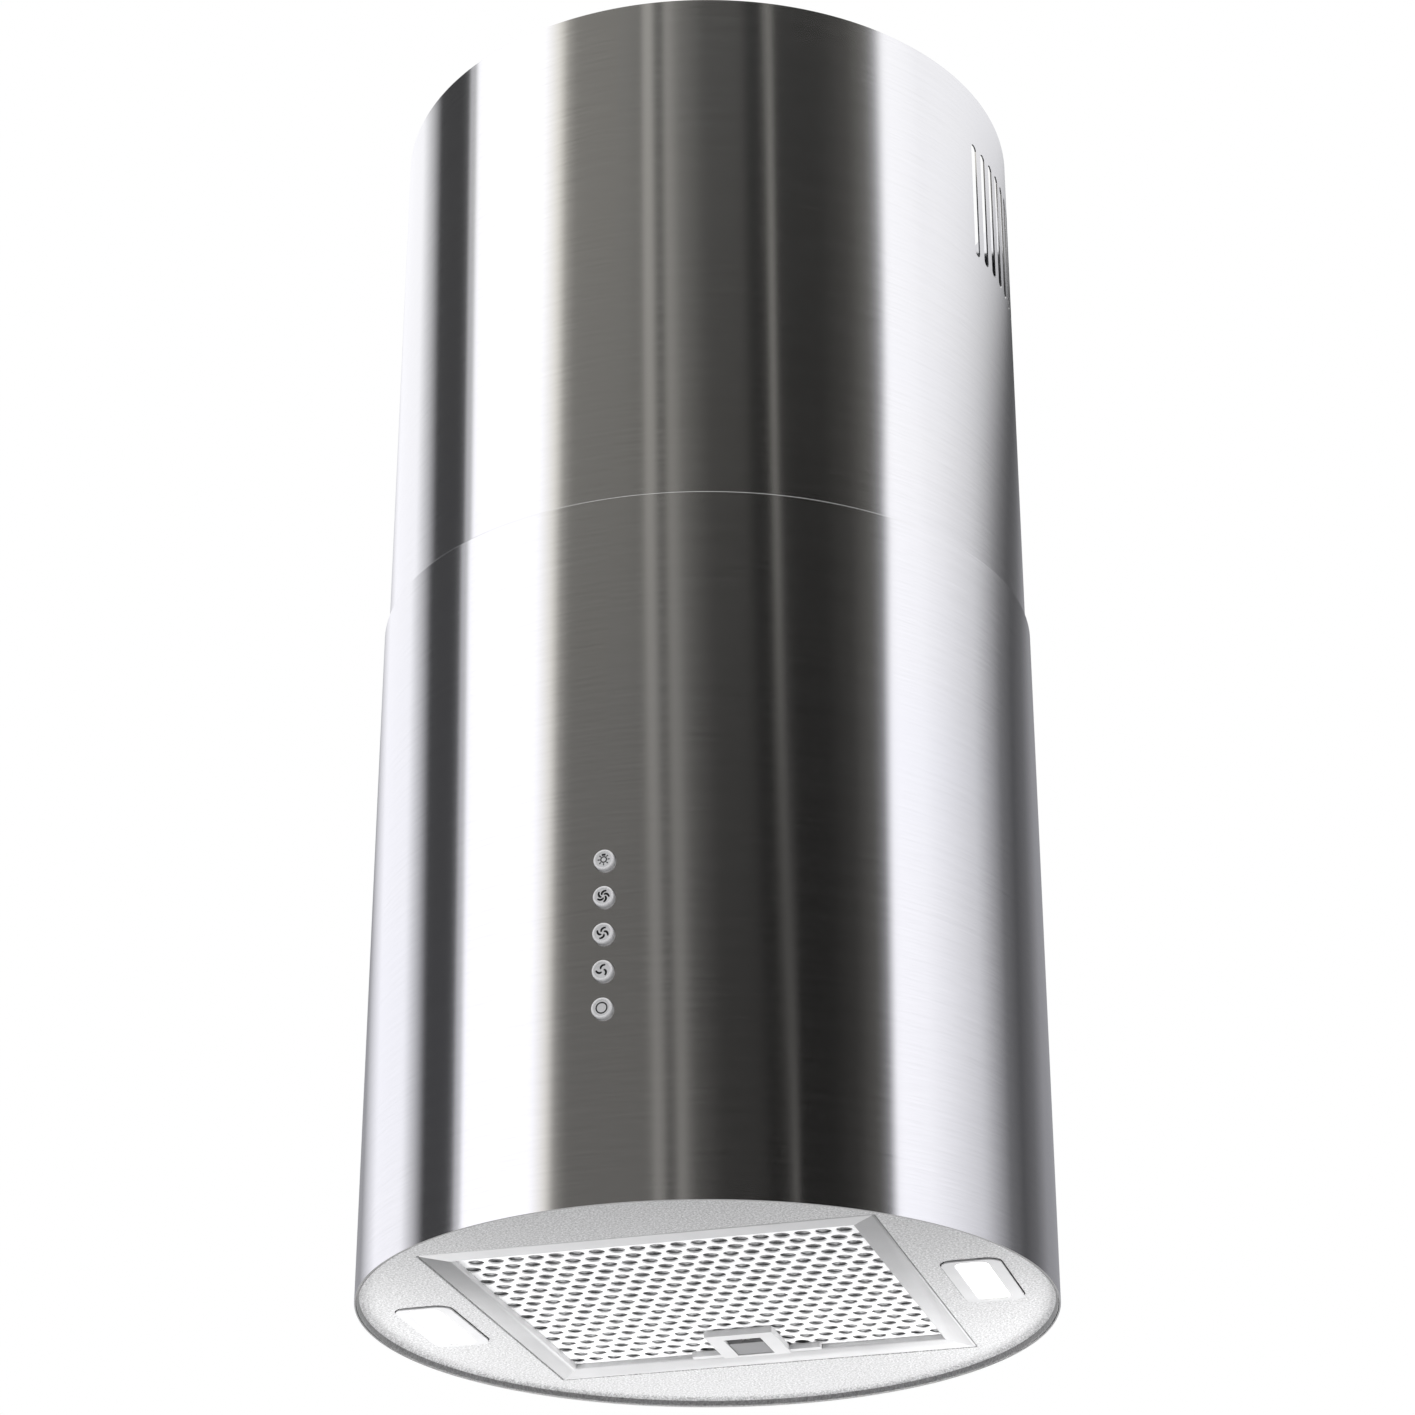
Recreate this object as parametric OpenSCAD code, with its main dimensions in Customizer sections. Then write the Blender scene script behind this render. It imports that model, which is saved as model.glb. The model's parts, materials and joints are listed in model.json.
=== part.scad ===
// Island range hood: two telescoping round tubes, blower, lamps, buttons and grease filter.
// Millimetres, +Z up. The origin is the centre of the ceiling face, the front is -Y.
// Heights called h are measured up from the lower tube's bottom edge.

/* [Outer tubes] */
// Height from the lower edge to the ceiling
total_h = 677; // [670:1:690]
// Outside diameter of the lower tube
lower_d = 350; // [349:0.5:352]
// Height of the lower tube
lower_h = 370; // [350:5:390]
// Outside diameter of the upper tube
upper_d = 345.6; // [344.8:0.2:346]
// Length of the upper tube
upper_h = 400; // [390:5:405]
// Thickness of the tube sheet
tube_wall = 0.8; // [0.6:0.1:1.0]

/* [Vents] */
// Vent slots on each side
vent_count = 9; // [5:1:11]
// Angle between vent slots, degrees
vent_pitch = 3.73; // [3:0.01:4.5]
// Width of a vent slot
vent_w = 5.6; // [4:0.2:6.4]
// Length of a vent slot
vent_len = 74; // [50:1:90]
// Height of the middle of the vent slots
vent_mid_h = 604.5; // [590:0.5:610]

/* [Buttons] */
// Diameter of a button cap
button_d = 10.2; // [8:0.2:10.4]
// Distance between buttons
button_pitch = 18.9; // [16:0.1:19.2]
// Height of the lowest button
button_low_h = 95; // [94:0.5:98]
// How far a cap stands out of the tube
button_out = 2.4; // [1:0.1:3]

/* [Underside] */
// Height of the underside panel above the lower edge
panel_h = 4.8; // [4.6:0.1:5]
// Width of the grease filter
filter_w = 224; // [220:1:224]
// Depth of the grease filter
filter_d = 223; // [219:1:223]
// Hole diameter in the filter sheet
hole_d = 8; // [5:0.5:8.6]
// Distance between filter holes
hole_pitch = 10.2; // [10:0.1:11]
// Distance of a lamp from the middle
lamp_x = 140; // [138:0.5:141]

/* [Blower] */
// Height of the blower shaft
shaft_h = 190; // [186:1:192]
// Blade count of the wheel
blade_count = 36; // [24:2:44]
// Outside radius of the duct collar
collar_r = 75; // [74:0.5:76]

/* [Hidden] */
$fn = 72;
lower_r = lower_d / 2;
lower_in = lower_r - tube_wall;
upper_r = upper_d / 2;
upper_in = upper_r - tube_wall;
upper_h0 = total_h - upper_h;
plate_t = 2;
plate_h = total_h - plate_t;
duct_hole_r = 115;
bolt_circle_r = 135;
bolt_hole_r = 4;
bay_r = 147.5;
bay_half = 39.5;
tube_screw_angles = [60, 120];
rail_t = 1.5;
rail_c = 115;
rail_leg = 25;
inner_c = rail_c - rail_t - 0.3;
inner_leg = 23;
rail_screw_y = 102;
rail_screw_h = 430;
blower_plate_h = 300;
sheet_t = 1.5;
deck_h = blower_plate_h + sheet_t;
pin_r = 1.25;
flap_h = deck_h + 18.7;
flap_r = collar_r - 3.2;
scroll_y = -40;
scroll_a0 = 75;
scroll_r0 = 77;
scroll_r1 = 104;
scroll_front = -22;
scroll_half = 75;
scroll_t = 1.2;
scroll_top = blower_plate_h - shaft_h;
inlet_r = 55;
wheel_in = 57;
wheel_r = 68;
wheel_half = 58;
axle_r = 4;
motor_r = 36;
chassis_h = 60;
strut_angles = [-62, -118, 52, 128];
foot_angles = [65, 115, 245, 295];
foot_r = 160;
panel_t = 1.2;
panel_top = panel_h + panel_t;
open_x = filter_w / 2 + 1;
open_y = filter_d / 2 + 1;
flange_t = 1.2;
flange_top = 20;
frame_top = panel_h + 10;
win_x = filter_w / 2 - 12.5;
win_y0 = -filter_d / 2 + 12.5;
win_y1 = filter_d / 2 - 17;
sheet_h = panel_h + 3;
tab_x = 60;
prong_x = 11.5;
lamp_w = 26.6;
lamp_len = 65.2;
cap_r = button_d / 2;
box_y = -168.5;

steel = [0.62, 0.61, 0.60];
dark_steel = [0.45, 0.45, 0.46];
galvanised = [0.66, 0.68, 0.70];
silver_paint = [0.76, 0.76, 0.77];
filter_grey = [0.72, 0.72, 0.73];
black = [0.08, 0.08, 0.09];
white = [0.93, 0.93, 0.92];
brass_tone = [0.75, 0.62, 0.35];
board_green = [0.10, 0.36, 0.20];
lamp_tone = [1.0, 0.97, 0.88];

// Moves a shape drawn in heights h to the ceiling frame.
module from_edge() {
    translate([0, 0, -total_h])
        children();
}

// Straight tube on the hood's axis from height h0 to h1.
module ring(r_out, r_in, h0, h1) {
    translate([0, 0, h0])
        difference() {
            cylinder(r = r_out, h = h1 - h0);
            translate([0, 0, -1])
                cylinder(r = r_in, h = h1 - h0 + 2);
        }
}

// Box between two opposite corners.
module box(a, b) {
    translate(a)
        cube(b - a);
}

// Rounded rectangle standing on height h0, centred on x and y.
module pad(x, y, w, d, r, h0, h1) {
    translate([x, y, h0])
        linear_extrude(h1 - h0) {
            square([w - 2 * r, d], center = true);
            square([w, d - 2 * r], center = true);
            for (sx = [-1, 1], sy = [-1, 1])
                translate([sx * (w / 2 - r), sy * (d / 2 - r)])
                    circle(r);
        }
}

// Rod along X or Y or along the radius at angle a.
module rod_x(r, x0, x1, y, h) {
    translate([x0, y, h])
        rotate([0, 90, 0])
            cylinder(r = r, h = x1 - x0);
}

module rod_y(r, y0, y1, x, h) {
    translate([x, y0, h])
        rotate([-90, 0, 0])
            cylinder(r = r, h = y1 - y0);
}

module rod_out(r, r0, r1, a, h) {
    rotate([0, 0, a])
        rod_x(r, r0, r1, 0, h);
}

// Turned ring on the blower shaft, between two distances x0 and x1.
module shaft_ring(r_out, r_in, x0, x1) {
    difference() {
        rod_x(r_out, x0, x1, scroll_y, shaft_h);
        rod_x(r_in, x0 - 1, x1 + 1, scroll_y, shaft_h);
    }
}

// Puts a drawing of the blower's side view upright, drawn from x0 to x1.
module on_shaft(x0, x1) {
    translate([x0, scroll_y, shaft_h])
        rotate([90, 0, 90])
            linear_extrude(x1 - x0)
                children();
}

// ---------- ceiling frame and upper tube ----------

// Outer bay cut from the plate beside the vents, bounded by two radial edges.
module side_bay() {
    intersection() {
        ring(upper_r + 10, bay_r, plate_h - 20, total_h + 5);
        translate([0, 0, plate_h - 20])
            linear_extrude(40)
                polygon([[0, 0], [300, -300 * tan(bay_half)], [300, 300 * tan(bay_half)]]);
    }
}

module ceiling_plate() {
    color(galvanised)
        from_edge()
            difference() {
                union() {
                    ring(upper_in - 0.2, duct_hole_r, plate_h, total_h);
                    ring(upper_in - 0.2, upper_in - 1.7, plate_h - 15, total_h);
                }
                for (side = [0, 180])
                    rotate([0, 0, side])
                        side_bay();
                for (a = [0 : 90 : 270])
                    rotate([0, 0, a])
                        translate([bolt_circle_r, 0, plate_h - 1])
                            cylinder(r = bolt_hole_r, h = plate_t + 2);
                for (a = tube_screw_angles)
                    rod_out(2.1, upper_in - 5, upper_in + 2, a, total_h - 9);
            }
}

module vent_slot(a) {
    half = (vent_len - vent_w) / 2;
    rotate([0, 0, a]) {
        box([upper_in - 4, -vent_w / 2, vent_mid_h - half],
            [upper_r + 4, vent_w / 2, vent_mid_h + half]);
        rod_x(vent_w / 2, upper_in - 4, upper_r + 4, 0, vent_mid_h - half);
        rod_x(vent_w / 2, upper_in - 4, upper_r + 4, 0, vent_mid_h + half);
    }
}

module upper_tube() {
    color(steel)
        from_edge()
            difference() {
                ring(upper_r, upper_in, upper_h0, total_h);
                for (side = [0, 180], k = [0 : vent_count - 1])
                    vent_slot(side + (k - (vent_count - 1) / 2) * vent_pitch);
                for (a = tube_screw_angles)
                    rod_out(2.1, upper_in - 5, upper_in + 5, a, total_h - 9);
            }
}

module tube_screws() {
    color(dark_steel)
        from_edge()
            for (a = tube_screw_angles) {
                rod_out(2, upper_in - 7, upper_r + 0.1, a, total_h - 9);
                rod_out(3.6, upper_r, upper_r + 1.8, a, total_h - 9);
            }
}

// Angle rail with its outside corner at distance c from both middle planes.
module angle_rail(sx, sy, c, leg, h0, h1) {
    translate([sx * (c - rail_t / 2), sy * (c - leg / 2), (h0 + h1) / 2])
        cube([rail_t, leg, h1 - h0], center = true);
    translate([sx * (c - leg / 2), sy * (c - rail_t / 2), (h0 + h1) / 2])
        cube([leg, rail_t, h1 - h0], center = true);
}

module upper_rail(sx, sy) {
    color(galvanised)
        from_edge()
            difference() {
                angle_rail(sx, sy, rail_c, rail_leg, 400, plate_h);
                rod_x(2.1, sx * rail_c - 5, sx * rail_c + 5, sy * rail_screw_y, rail_screw_h);
            }
}

module lower_rail(sx, sy) {
    slot_w = 4.6;
    slot_h0 = 347.8;
    slot_h1 = 492.2;
    color(galvanised)
        from_edge()
            difference() {
                angle_rail(sx, sy, inner_c, inner_leg, deck_h, 560);
                translate([sx * inner_c, sy * rail_screw_y, (slot_h0 + slot_h1) / 2])
                    cube([8, slot_w, slot_h1 - slot_h0 - slot_w], center = true);
                for (h = [slot_h0 + slot_w / 2, slot_h1 - slot_w / 2])
                    rod_x(slot_w / 2, sx * inner_c - 4, sx * inner_c + 4,
                          sy * rail_screw_y, h);
            }
}

module upper_rail_fl() { upper_rail(-1, -1); }
module upper_rail_fr() { upper_rail(1, -1); }
module upper_rail_bl() { upper_rail(-1, 1); }
module upper_rail_br() { upper_rail(1, 1); }
module lower_rail_fl() { lower_rail(-1, -1); }
module lower_rail_fr() { lower_rail(1, -1); }
module lower_rail_bl() { lower_rail(-1, 1); }
module lower_rail_br() { lower_rail(1, 1); }

// Screw and nut that ride in a rail slot.
module rail_fasteners() {
    nut_x = inner_c - rail_t - 0.2;
    color(dark_steel)
        from_edge()
            for (side = [0, 180], y = [-rail_screw_y, rail_screw_y])
                rotate([0, 0, side]) {
                    rod_x(3.6, rail_c, rail_c + 2.6, y, rail_screw_h);
                    rod_x(2, nut_x - 5, rail_c + 0.1, y, rail_screw_h);
                    translate([nut_x - 3.2, y, rail_screw_h])
                        rotate([0, 90, 0])
                            cylinder(r = 3.9, h = 3.2, $fn = 6);
                }
}

// ---------- lower tube and chassis ----------

function button_h(i) = button_low_h + i * button_pitch;

module lower_tube() {
    color(steel)
        from_edge()
            difference() {
                ring(lower_r, lower_in, 0, lower_h);
                for (i = [0 : 4])
                    rod_y(cap_r + 0.25, -lower_r - 5, -lower_r + 8, 0, button_h(i));
            }
}

module blower_plate() {
    color(galvanised)
        from_edge()
            difference() {
                ring(165, collar_r - 3, blower_plate_h, deck_h);
                for (x = [-82.5, 82.5], y = [-45, 45])
                    translate([x, y, blower_plate_h - 1])
                        cylinder(r = 2.15, h = 4);
                for (x = [-60, 60])
                    translate([x, -125, blower_plate_h - 1])
                        cylinder(r = 9, h = 4);
            }
}

// Flat ring with hanging feet for the base pan and straps up to the blower plate.
module chassis_frame() {
    color(galvanised)
        from_edge()
            difference() {
                union() {
                    difference() {
                        translate([0, 0, chassis_h])
                            cylinder(r = lower_in - 0.1, h = sheet_t);
                        box([-112, -112, chassis_h - 1], [112, 112, chassis_h + 3]);
                    }
                    for (a = strut_angles)
                        rotate([0, 0, a])
                            box([157, -11, chassis_h], [159, 11, blower_plate_h]);
                    for (a = foot_angles)
                        rotate([0, 0, a]) {
                            box([foot_r + 6, -10, panel_top], [foot_r + 8, 10, chassis_h + 1]);
                            box([foot_r - 8, -10, panel_top], [foot_r + 7, 10, panel_top + 1.5]);
                        }
                }
                for (a = foot_angles)
                    rotate([0, 0, a])
                        translate([foot_r, 0, panel_top - 1])
                            cylinder(r = 2.15, h = 4);
            }
}

// M4 screws: four through the blower flanges, four studs of the base pan.
module frame_screws() {
    color(dark_steel)
        from_edge() {
            for (x = [-82.5, 82.5], y = [-45, 45])
                translate([x, y, 0]) {
                    ring(3.6, 0.4, deck_h, deck_h + 2.4);
                    translate([0, 0, blower_plate_h - 6])
                        cylinder(r = 2, h = 8);
                    translate([0, 0, blower_plate_h - sheet_t - 3.2])
                        cylinder(r = 3.9, h = 3.2, $fn = 6);
                }
            for (a = foot_angles)
                rotate([0, 0, a])
                    translate([foot_r, 0, panel_top]) {
                        cylinder(r = 2, h = 6);
                        translate([0, 0, 1.5])
                            cylinder(r = 3.9, h = 3.2, $fn = 6);
                    }
        }
}

// ---------- duct collar and backdraft flaps ----------

module outlet_collar() {
    color(galvanised)
        from_edge()
            difference() {
                union() {
                    ring(collar_r + 13, collar_r - 1.5, deck_h, deck_h + 1.5);
                    ring(collar_r, collar_r - 1.5, deck_h, deck_h + 49.5);
                    difference() {
                        ring(collar_r - 1, collar_r - 4.5, flap_h - 2.4, flap_h - 0.8);
                        box([-100, -5, flap_h - 5], [100, 5, flap_h + 2]);
                    }
                }
                rod_x(pin_r + 0.1, -100, 100, 0, flap_h);
            }
}

module flap_pin() {
    color(dark_steel)
        from_edge()
            rod_x(pin_r, -collar_r + 0.2, collar_r - 0.2, 0, flap_h);
}

// Half-round flap on the side sy, with knuckles that start at the given places.
module flap(sy, knuckles) {
    knuckle_len = 22;
    color(galvanised)
        from_edge()
            difference() {
                union() {
                    intersection() {
                        translate([0, 0, flap_h - 0.5])
                            cylinder(r = flap_r, h = 1);
                        translate([-100, sy > 0 ? 3.4 : -103.4, flap_h - 1])
                            cube([200, 100, 2]);
                    }
                    for (x = knuckles) {
                        rod_x(2.5, x, x + knuckle_len, 0, flap_h);
                        translate([x, sy > 0 ? 1.8 : -3.9, flap_h - 0.5])
                            cube([knuckle_len, 2.1, 1]);
                    }
                }
                rod_x(pin_r + 0.2, -100, 100, 0, flap_h);
            }
}

module flap_front() { flap(-1, [-62, 4]); }
module flap_back() { flap(1, [-28, 38]); }

// ---------- blower ----------

function scroll_r(a) = scroll_r0 + (scroll_r1 - scroll_r0) * (a - scroll_a0) / (360 - scroll_a0);

// Side view of the wrap: throat, tongue nose, spiral and rear wall, moved in by inset.
function scroll_line(inset) = concat(
    [[scroll_front + 1.6 * inset, scroll_top]],
    inset > 0 ? [scroll_r0 * [cos(scroll_a0), sin(scroll_a0)] + inset * [1.1, -0.2]] : [],
    [for (a = [scroll_a0 : 7.5 : 360]) (scroll_r(a) - inset) * [cos(a), sin(a)]],
    [[scroll_r1 - inset, scroll_top]]
);

function reversed(v) = [for (i = [len(v) - 1 : -1 : 0]) v[i]];

module scroll_wrap() {
    color(galvanised)
        from_edge()
            on_shaft(-scroll_half + scroll_t, scroll_half - scroll_t)
                polygon(concat(scroll_line(0), reversed(scroll_line(scroll_t))));
}

// Side plate with its inlet hole and the flange that hangs it from the blower plate.
module scroll_side(s) {
    x_in = scroll_half - scroll_t;
    color(galvanised)
        from_edge()
            difference() {
                union() {
                    on_shaft(s > 0 ? x_in : -scroll_half, s > 0 ? scroll_half : -x_in)
                        polygon(scroll_line(0));
                    translate([s > 0 ? x_in : -90, scroll_y + scroll_front,
                               blower_plate_h - sheet_t])
                        cube([90 - x_in, scroll_r1 - scroll_front, sheet_t]);
                }
                rod_x(inlet_r + 0.2, -100, 100, scroll_y, shaft_h);
                for (y = [-45, 45])
                    translate([s * 82.5, y, blower_plate_h - 3])
                        cylinder(r = 2.15, h = 4);
            }
}

module scroll_side_left() { scroll_side(-1); }
module scroll_side_right() { scroll_side(1); }

// Bell-mouth ring with three bayonet lugs for the charcoal filter.
module inlet_ring(s) {
    color(galvanised)
        from_edge()
            rotate([0, 0, s > 0 ? 0 : 180])
                translate([0, s > 0 ? 0 : -2 * scroll_y, 0]) {
                    shaft_ring(inlet_r, inlet_r - 1.5, scroll_half - 13, scroll_half + 1.2);
                    shaft_ring(66, inlet_r - 1, scroll_half, scroll_half + 1.2);
                    for (a = [30, 150, 270])
                        translate([0, scroll_y, shaft_h])
                            rotate([a, 0, 0]) {
                                box([scroll_half + 1, 62, -6], [scroll_half + 4, 65.6, 6]);
                                box([scroll_half + 2.6, 64, -6], [scroll_half + 4, 69, 6]);
                            }
                }
}

module inlet_ring_left() { inlet_ring(-1); }
module inlet_ring_right() { inlet_ring(1); }

module motor() {
    motor_x0 = -scroll_half - 1.2;
    color(dark_steel)
        from_edge()
            difference() {
                union() {
                    rod_x(motor_r, motor_x0, -10, scroll_y, shaft_h);
                    rod_x(motor_r - 3, -11, -7, scroll_y, shaft_h);
                    rod_x(11, -8, -3, scroll_y, shaft_h);
                }
                rod_x(axle_r + 0.3, -30, 0, scroll_y, shaft_h);
                for (a = [0 : 45 : 315])
                    translate([0, scroll_y, shaft_h])
                        rotate([a, 0, 0])
                            box([-40, motor_r - 1.5, -2.5], [-16, motor_r + 1, 2.5]);
            }
}

module motor_bracket() {
    x1 = -scroll_half - 1.2;
    color(galvanised)
        from_edge() {
            shaft_ring(34, 12, x1 - 2, x1);
            for (a = [90, 210, 330])
                translate([0, scroll_y, shaft_h])
                    rotate([a, 0, 0])
                        box([x1 - 2, 30, -6], [x1, 63, 6]);
        }
}

module motor_shaft() {
    color(steel)
        from_edge()
            rod_x(axle_r, -28, 17, scroll_y, shaft_h);
}

module impeller() {
    color(galvanised)
        from_edge()
            difference() {
                union() {
                    on_shaft(-wheel_half, wheel_half)
                        for (i = [0 : blade_count - 1])
                            rotate(i * 360 / blade_count)
                                translate([(wheel_in + wheel_r) / 2, 0])
                                    rotate(60)
                                        square([13, 1], center = true);
                    shaft_ring(wheel_r, wheel_in, -wheel_half, -wheel_half + 2);
                    shaft_ring(wheel_r, wheel_in, wheel_half - 2, wheel_half);
                    rod_x(wheel_r, -1, 1, scroll_y, shaft_h);
                    rod_x(10, -1.8, 14, scroll_y, shaft_h);
                }
                rod_x(axle_r + 0.02, -5, 20, scroll_y, shaft_h);
            }
}

// Round cartridge: open cage face, carbon inside, bayonet collar on the blower side.
module charcoal_filter(s) {
    x0 = scroll_half + 1.8;
    x1 = scroll_half + 8;
    x2 = x1 + 30;
    color(black)
        from_edge()
            rotate([0, 0, s > 0 ? 0 : 180])
                translate([0, s > 0 ? 0 : -2 * scroll_y, 0])
                    difference() {
                        union() {
                            shaft_ring(84, 50, x1, x1 + 3);
                            rod_x(82, x1 + 2, x2 - 2, scroll_y, shaft_h);
                            shaft_ring(84, 79, x1, x2);
                            shaft_ring(71, 67, x0, x1 + 1);
                            for (a = [0 : 30 : 150])
                                translate([0, scroll_y, shaft_h])
                                    rotate([a, 0, 0])
                                        box([x2 - 3, -81, -1.2], [x2, 81, 1.2]);
                            for (r = [20, 40, 60])
                                shaft_ring(r + 1.2, r - 1.2, x2 - 3, x2);
                        }
                        shaft_ring(69.8, 60, x0 + 0.6, x0 + 2.9);
                        for (a = [30, 150, 270], turn = [22])
                            translate([0, scroll_y, shaft_h])
                                rotate([a + turn, 0, 0])
                                    box([x0 - 1, 60, -7], [x0 + 2, 69.8, 7]);
                        rod_x(48, x1 - 2, x1 + 6, scroll_y, shaft_h);
                    }
}

module charcoal_filter_left() { charcoal_filter(-1); }
module charcoal_filter_right() { charcoal_filter(1); }

// ---------- electrics on the blower plate ----------

module capacitor() {
    color(white)
        from_edge()
            translate([0, -122, deck_h]) {
                cylinder(r = 14, h = 52);
                translate([0, 0, 50])
                    cylinder(r = 12, h = 5);
                for (x = [-5, 5])
                    translate([x, 0, 54])
                        translate([-0.4, -3, 0])
                            cube([0.8, 6, 7]);
            }
}

module junction_box() {
    color(black)
        from_edge()
            difference() {
                box([-42, 102, deck_h], [42, 150, deck_h + 32]);
                box([-40, 104, deck_h + 2], [40, 148, deck_h + 33]);
            }
}

module junction_cover() {
    h0 = deck_h + 32;
    color(black)
        from_edge()
            difference() {
                union() {
                    box([-42, 102, h0], [42, 150, h0 + 2]);
                    box([-39.6, 104.4, h0 - 3], [39.6, 147.6, h0 + 1]);
                }
                box([-37.6, 106.4, h0 - 4], [37.6, 145.6, h0]);
                translate([20, 126, h0 - 5])
                    cylinder(r = 8.2, h = 10);
            }
}

module cable_gland() {
    h0 = deck_h + 34;
    color(black)
        from_edge()
            translate([20, 126, 0])
                difference() {
                    union() {
                        translate([0, 0, h0 - 7])
                            cylinder(r = 8, h = 16);
                        translate([0, 0, h0])
                            cylinder(r = 11.5, h = 5, $fn = 6);
                        translate([0, 0, h0 + 7])
                            cylinder(r = 10.5, h = 7, $fn = 6);
                    }
                    translate([0, 0, h0 - 10])
                        cylinder(r = 5, h = 30);
                }
}

module led_driver() {
    color(white)
        from_edge()
            difference() {
                union() {
                    box([-150, -38, deck_h], [-120, 38, deck_h + 22]);
                    box([-146, -48, deck_h], [-124, 48, deck_h + 2]);
                }
                for (y = [-43.5, 43.5])
                    translate([-135, y, deck_h - 1])
                        cylinder(r = 2, h = 5);
            }
}

// ---------- underside ----------

module base_pan() {
    strike_x = 20.4;
    color(silver_paint)
        from_edge()
            difference() {
                union() {
                    ring(lower_in - 0.1, lower_in - 1.2, 0.4, 26);
                    translate([0, 0, panel_h])
                        cylinder(r = lower_in - 1, h = panel_t);
                    box([-open_x - flange_t, -open_y - flange_t, panel_h],
                        [open_x + flange_t, open_y + flange_t, flange_top]);
                }
                box([-open_x, -open_y, 0], [open_x, open_y, flange_top + 1]);
                for (x = [-tab_x, tab_x])
                    box([x - 7, -open_y - 3, panel_top + 0.2], [x + 7, -open_y + 1, 22]);
                box([-strike_x, open_y - 1, 0], [strike_x, open_y + 8.8, 22]);
                for (s = [-1, 1])
                    pad(s * lamp_x, 0, lamp_w + 0.4, lamp_len + 0.4, 6, 0, 10);
            }
}

// Spring-steel strike that fills the notch behind the latch.
module latch_strike() {
    color(silver_paint)
        from_edge() {
            box([-20, open_y + 0.2, panel_h + 0.1], [20, open_y + 8.4, panel_top + 0.2]);
            for (x = [-28, 16])
                box([x, open_y + 2, panel_top + 0.02], [x + 12, open_y + 8.2, panel_top + 1]);
        }
}

module lamp_housing(s) {
    color(filter_grey)
        from_edge()
            difference() {
                union() {
                    pad(s * lamp_x, 0, 29.4, 67.2, 7, panel_h - 0.8, panel_h);
                    pad(s * lamp_x, 0, lamp_w, lamp_len, 5.8, panel_h - 0.4, panel_h + 17);
                }
                pad(s * lamp_x, 0, lamp_w - 3, lamp_len - 3, 4.4, panel_h, panel_h + 15.5);
                pad(s * lamp_x, 0, 16.6, 61, 4.6, 0, panel_h + 1);
            }
}

module lamp_lens(s) {
    color(lamp_tone)
        from_edge()
            pad(s * lamp_x, 0, lamp_w - 3.4, lamp_len - 3.4, 4.2, panel_h, panel_h + 2.2);
}

module lamp_board(s) {
    top = panel_h + 15.5;
    color(board_green)
        from_edge() {
            pad(s * lamp_x, 0, lamp_w - 4.6, lamp_len - 4.6, 2, top - 1.6, top);
            for (y = [-24 : 9.6 : 24])
                translate([s * lamp_x - 1.75, y - 1.75, top - 2.4])
                    cube([3.5, 3.5, 1]);
        }
}

module lamp_housing_left() { lamp_housing(-1); }
module lamp_housing_right() { lamp_housing(1); }
module lamp_lens_left() { lamp_lens(-1); }
module lamp_lens_right() { lamp_lens(1); }
module lamp_board_left() { lamp_board(-1); }
module lamp_board_right() { lamp_board(1); }

// ---------- grease filter ----------

// Folded frame with a groove for the sheets, hook tabs in front, bolt channels behind.
module filter_frame() {
    fx = filter_w / 2;
    fy = filter_d / 2;
    color(filter_grey)
        from_edge() {
            difference() {
                box([-fx, -fy, panel_h], [fx, fy, frame_top]);
                box([-win_x, win_y0, 0], [win_x, win_y1, 30]);
                box([-win_x - 3, win_y0 - 3, sheet_h], [win_x + 3, win_y1 + 3, frame_top - 1.2]);
                for (s = [-1, 1])
                    box([s * prong_x - 2.3, win_y1 - 1, panel_h + 1.3],
                        [s * prong_x + 2.3, fy + 1, panel_h + 2.7]);
            }
            for (x = [-tab_x, tab_x])
                box([x - 5, -fy - 7.5, panel_h + 3.2], [x + 5, -fy + 1, panel_h + 4.6]);
        }
}

module filter_front_sheet() {
    rows = 19;
    cols = 20;
    color(filter_grey)
        from_edge()
            translate([0, 0, sheet_h])
                linear_extrude(0.8)
                    difference() {
                        translate([-win_x - 2.7, win_y0 - 2.7])
                            square([2 * win_x + 5.4, win_y1 - win_y0 + 5.4]);
                        for (i = [0 : rows - 1], j = [0 : cols - 1 - i % 2])
                            translate([(j - (cols - 1 - i % 2) / 2) * hole_pitch,
                                       win_y0 + 3.7 + i * hole_pitch])
                                circle(d = hole_d, $fn = 24);
                    }
}

module filter_mesh() {
    color(galvanised)
        from_edge()
            box([-win_x - 2.7, win_y0 - 2.7, sheet_h + 0.9],
                [win_x + 2.7, win_y1 + 2.7, sheet_h + 4.8]);
}

module filter_back_sheet() {
    n = 5;
    cell_x = (2 * win_x - 4) / n;
    cell_y = (win_y1 - win_y0 - 4) / n;
    color(filter_grey)
        from_edge()
            difference() {
                box([-win_x - 2.7, win_y0 - 2.7, sheet_h + 4.9],
                    [win_x + 2.7, win_y1 + 2.7, sheet_h + 5.7]);
                for (i = [0 : n - 1], j = [0 : n - 1])
                    translate([-win_x + 4 + i * cell_x, win_y0 + 4 + j * cell_y, sheet_h + 4])
                        cube([cell_x - 4, cell_y - 4, 3]);
            }
}

// Latch housing under the filter sheet, with the finger window.
module latch_body() {
    h0 = panel_h - 0.5;
    h1 = sheet_h - 0.1;
    back = win_y1 - 0.1;
    color(filter_grey)
        from_edge()
            difference() {
                union() {
                    box([-18, 55, h0], [18, back, h1]);
                    box([-34.5, back - 4.5, panel_h + 0.2], [34.5, back, h1]);
                }
                box([-14, 58, h0 + 1.3], [14, back - 3, h1 + 1]);
                box([-9.75, 63, h0 - 1], [9.75, back - 3, h1 + 1]);
                for (s = [-1, 1])
                    box([s * prong_x - 2.4, back - 5, panel_h + 1.25],
                        [s * prong_x + 2.4, back + 1, panel_h + 2.75]);
            }
}

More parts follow.
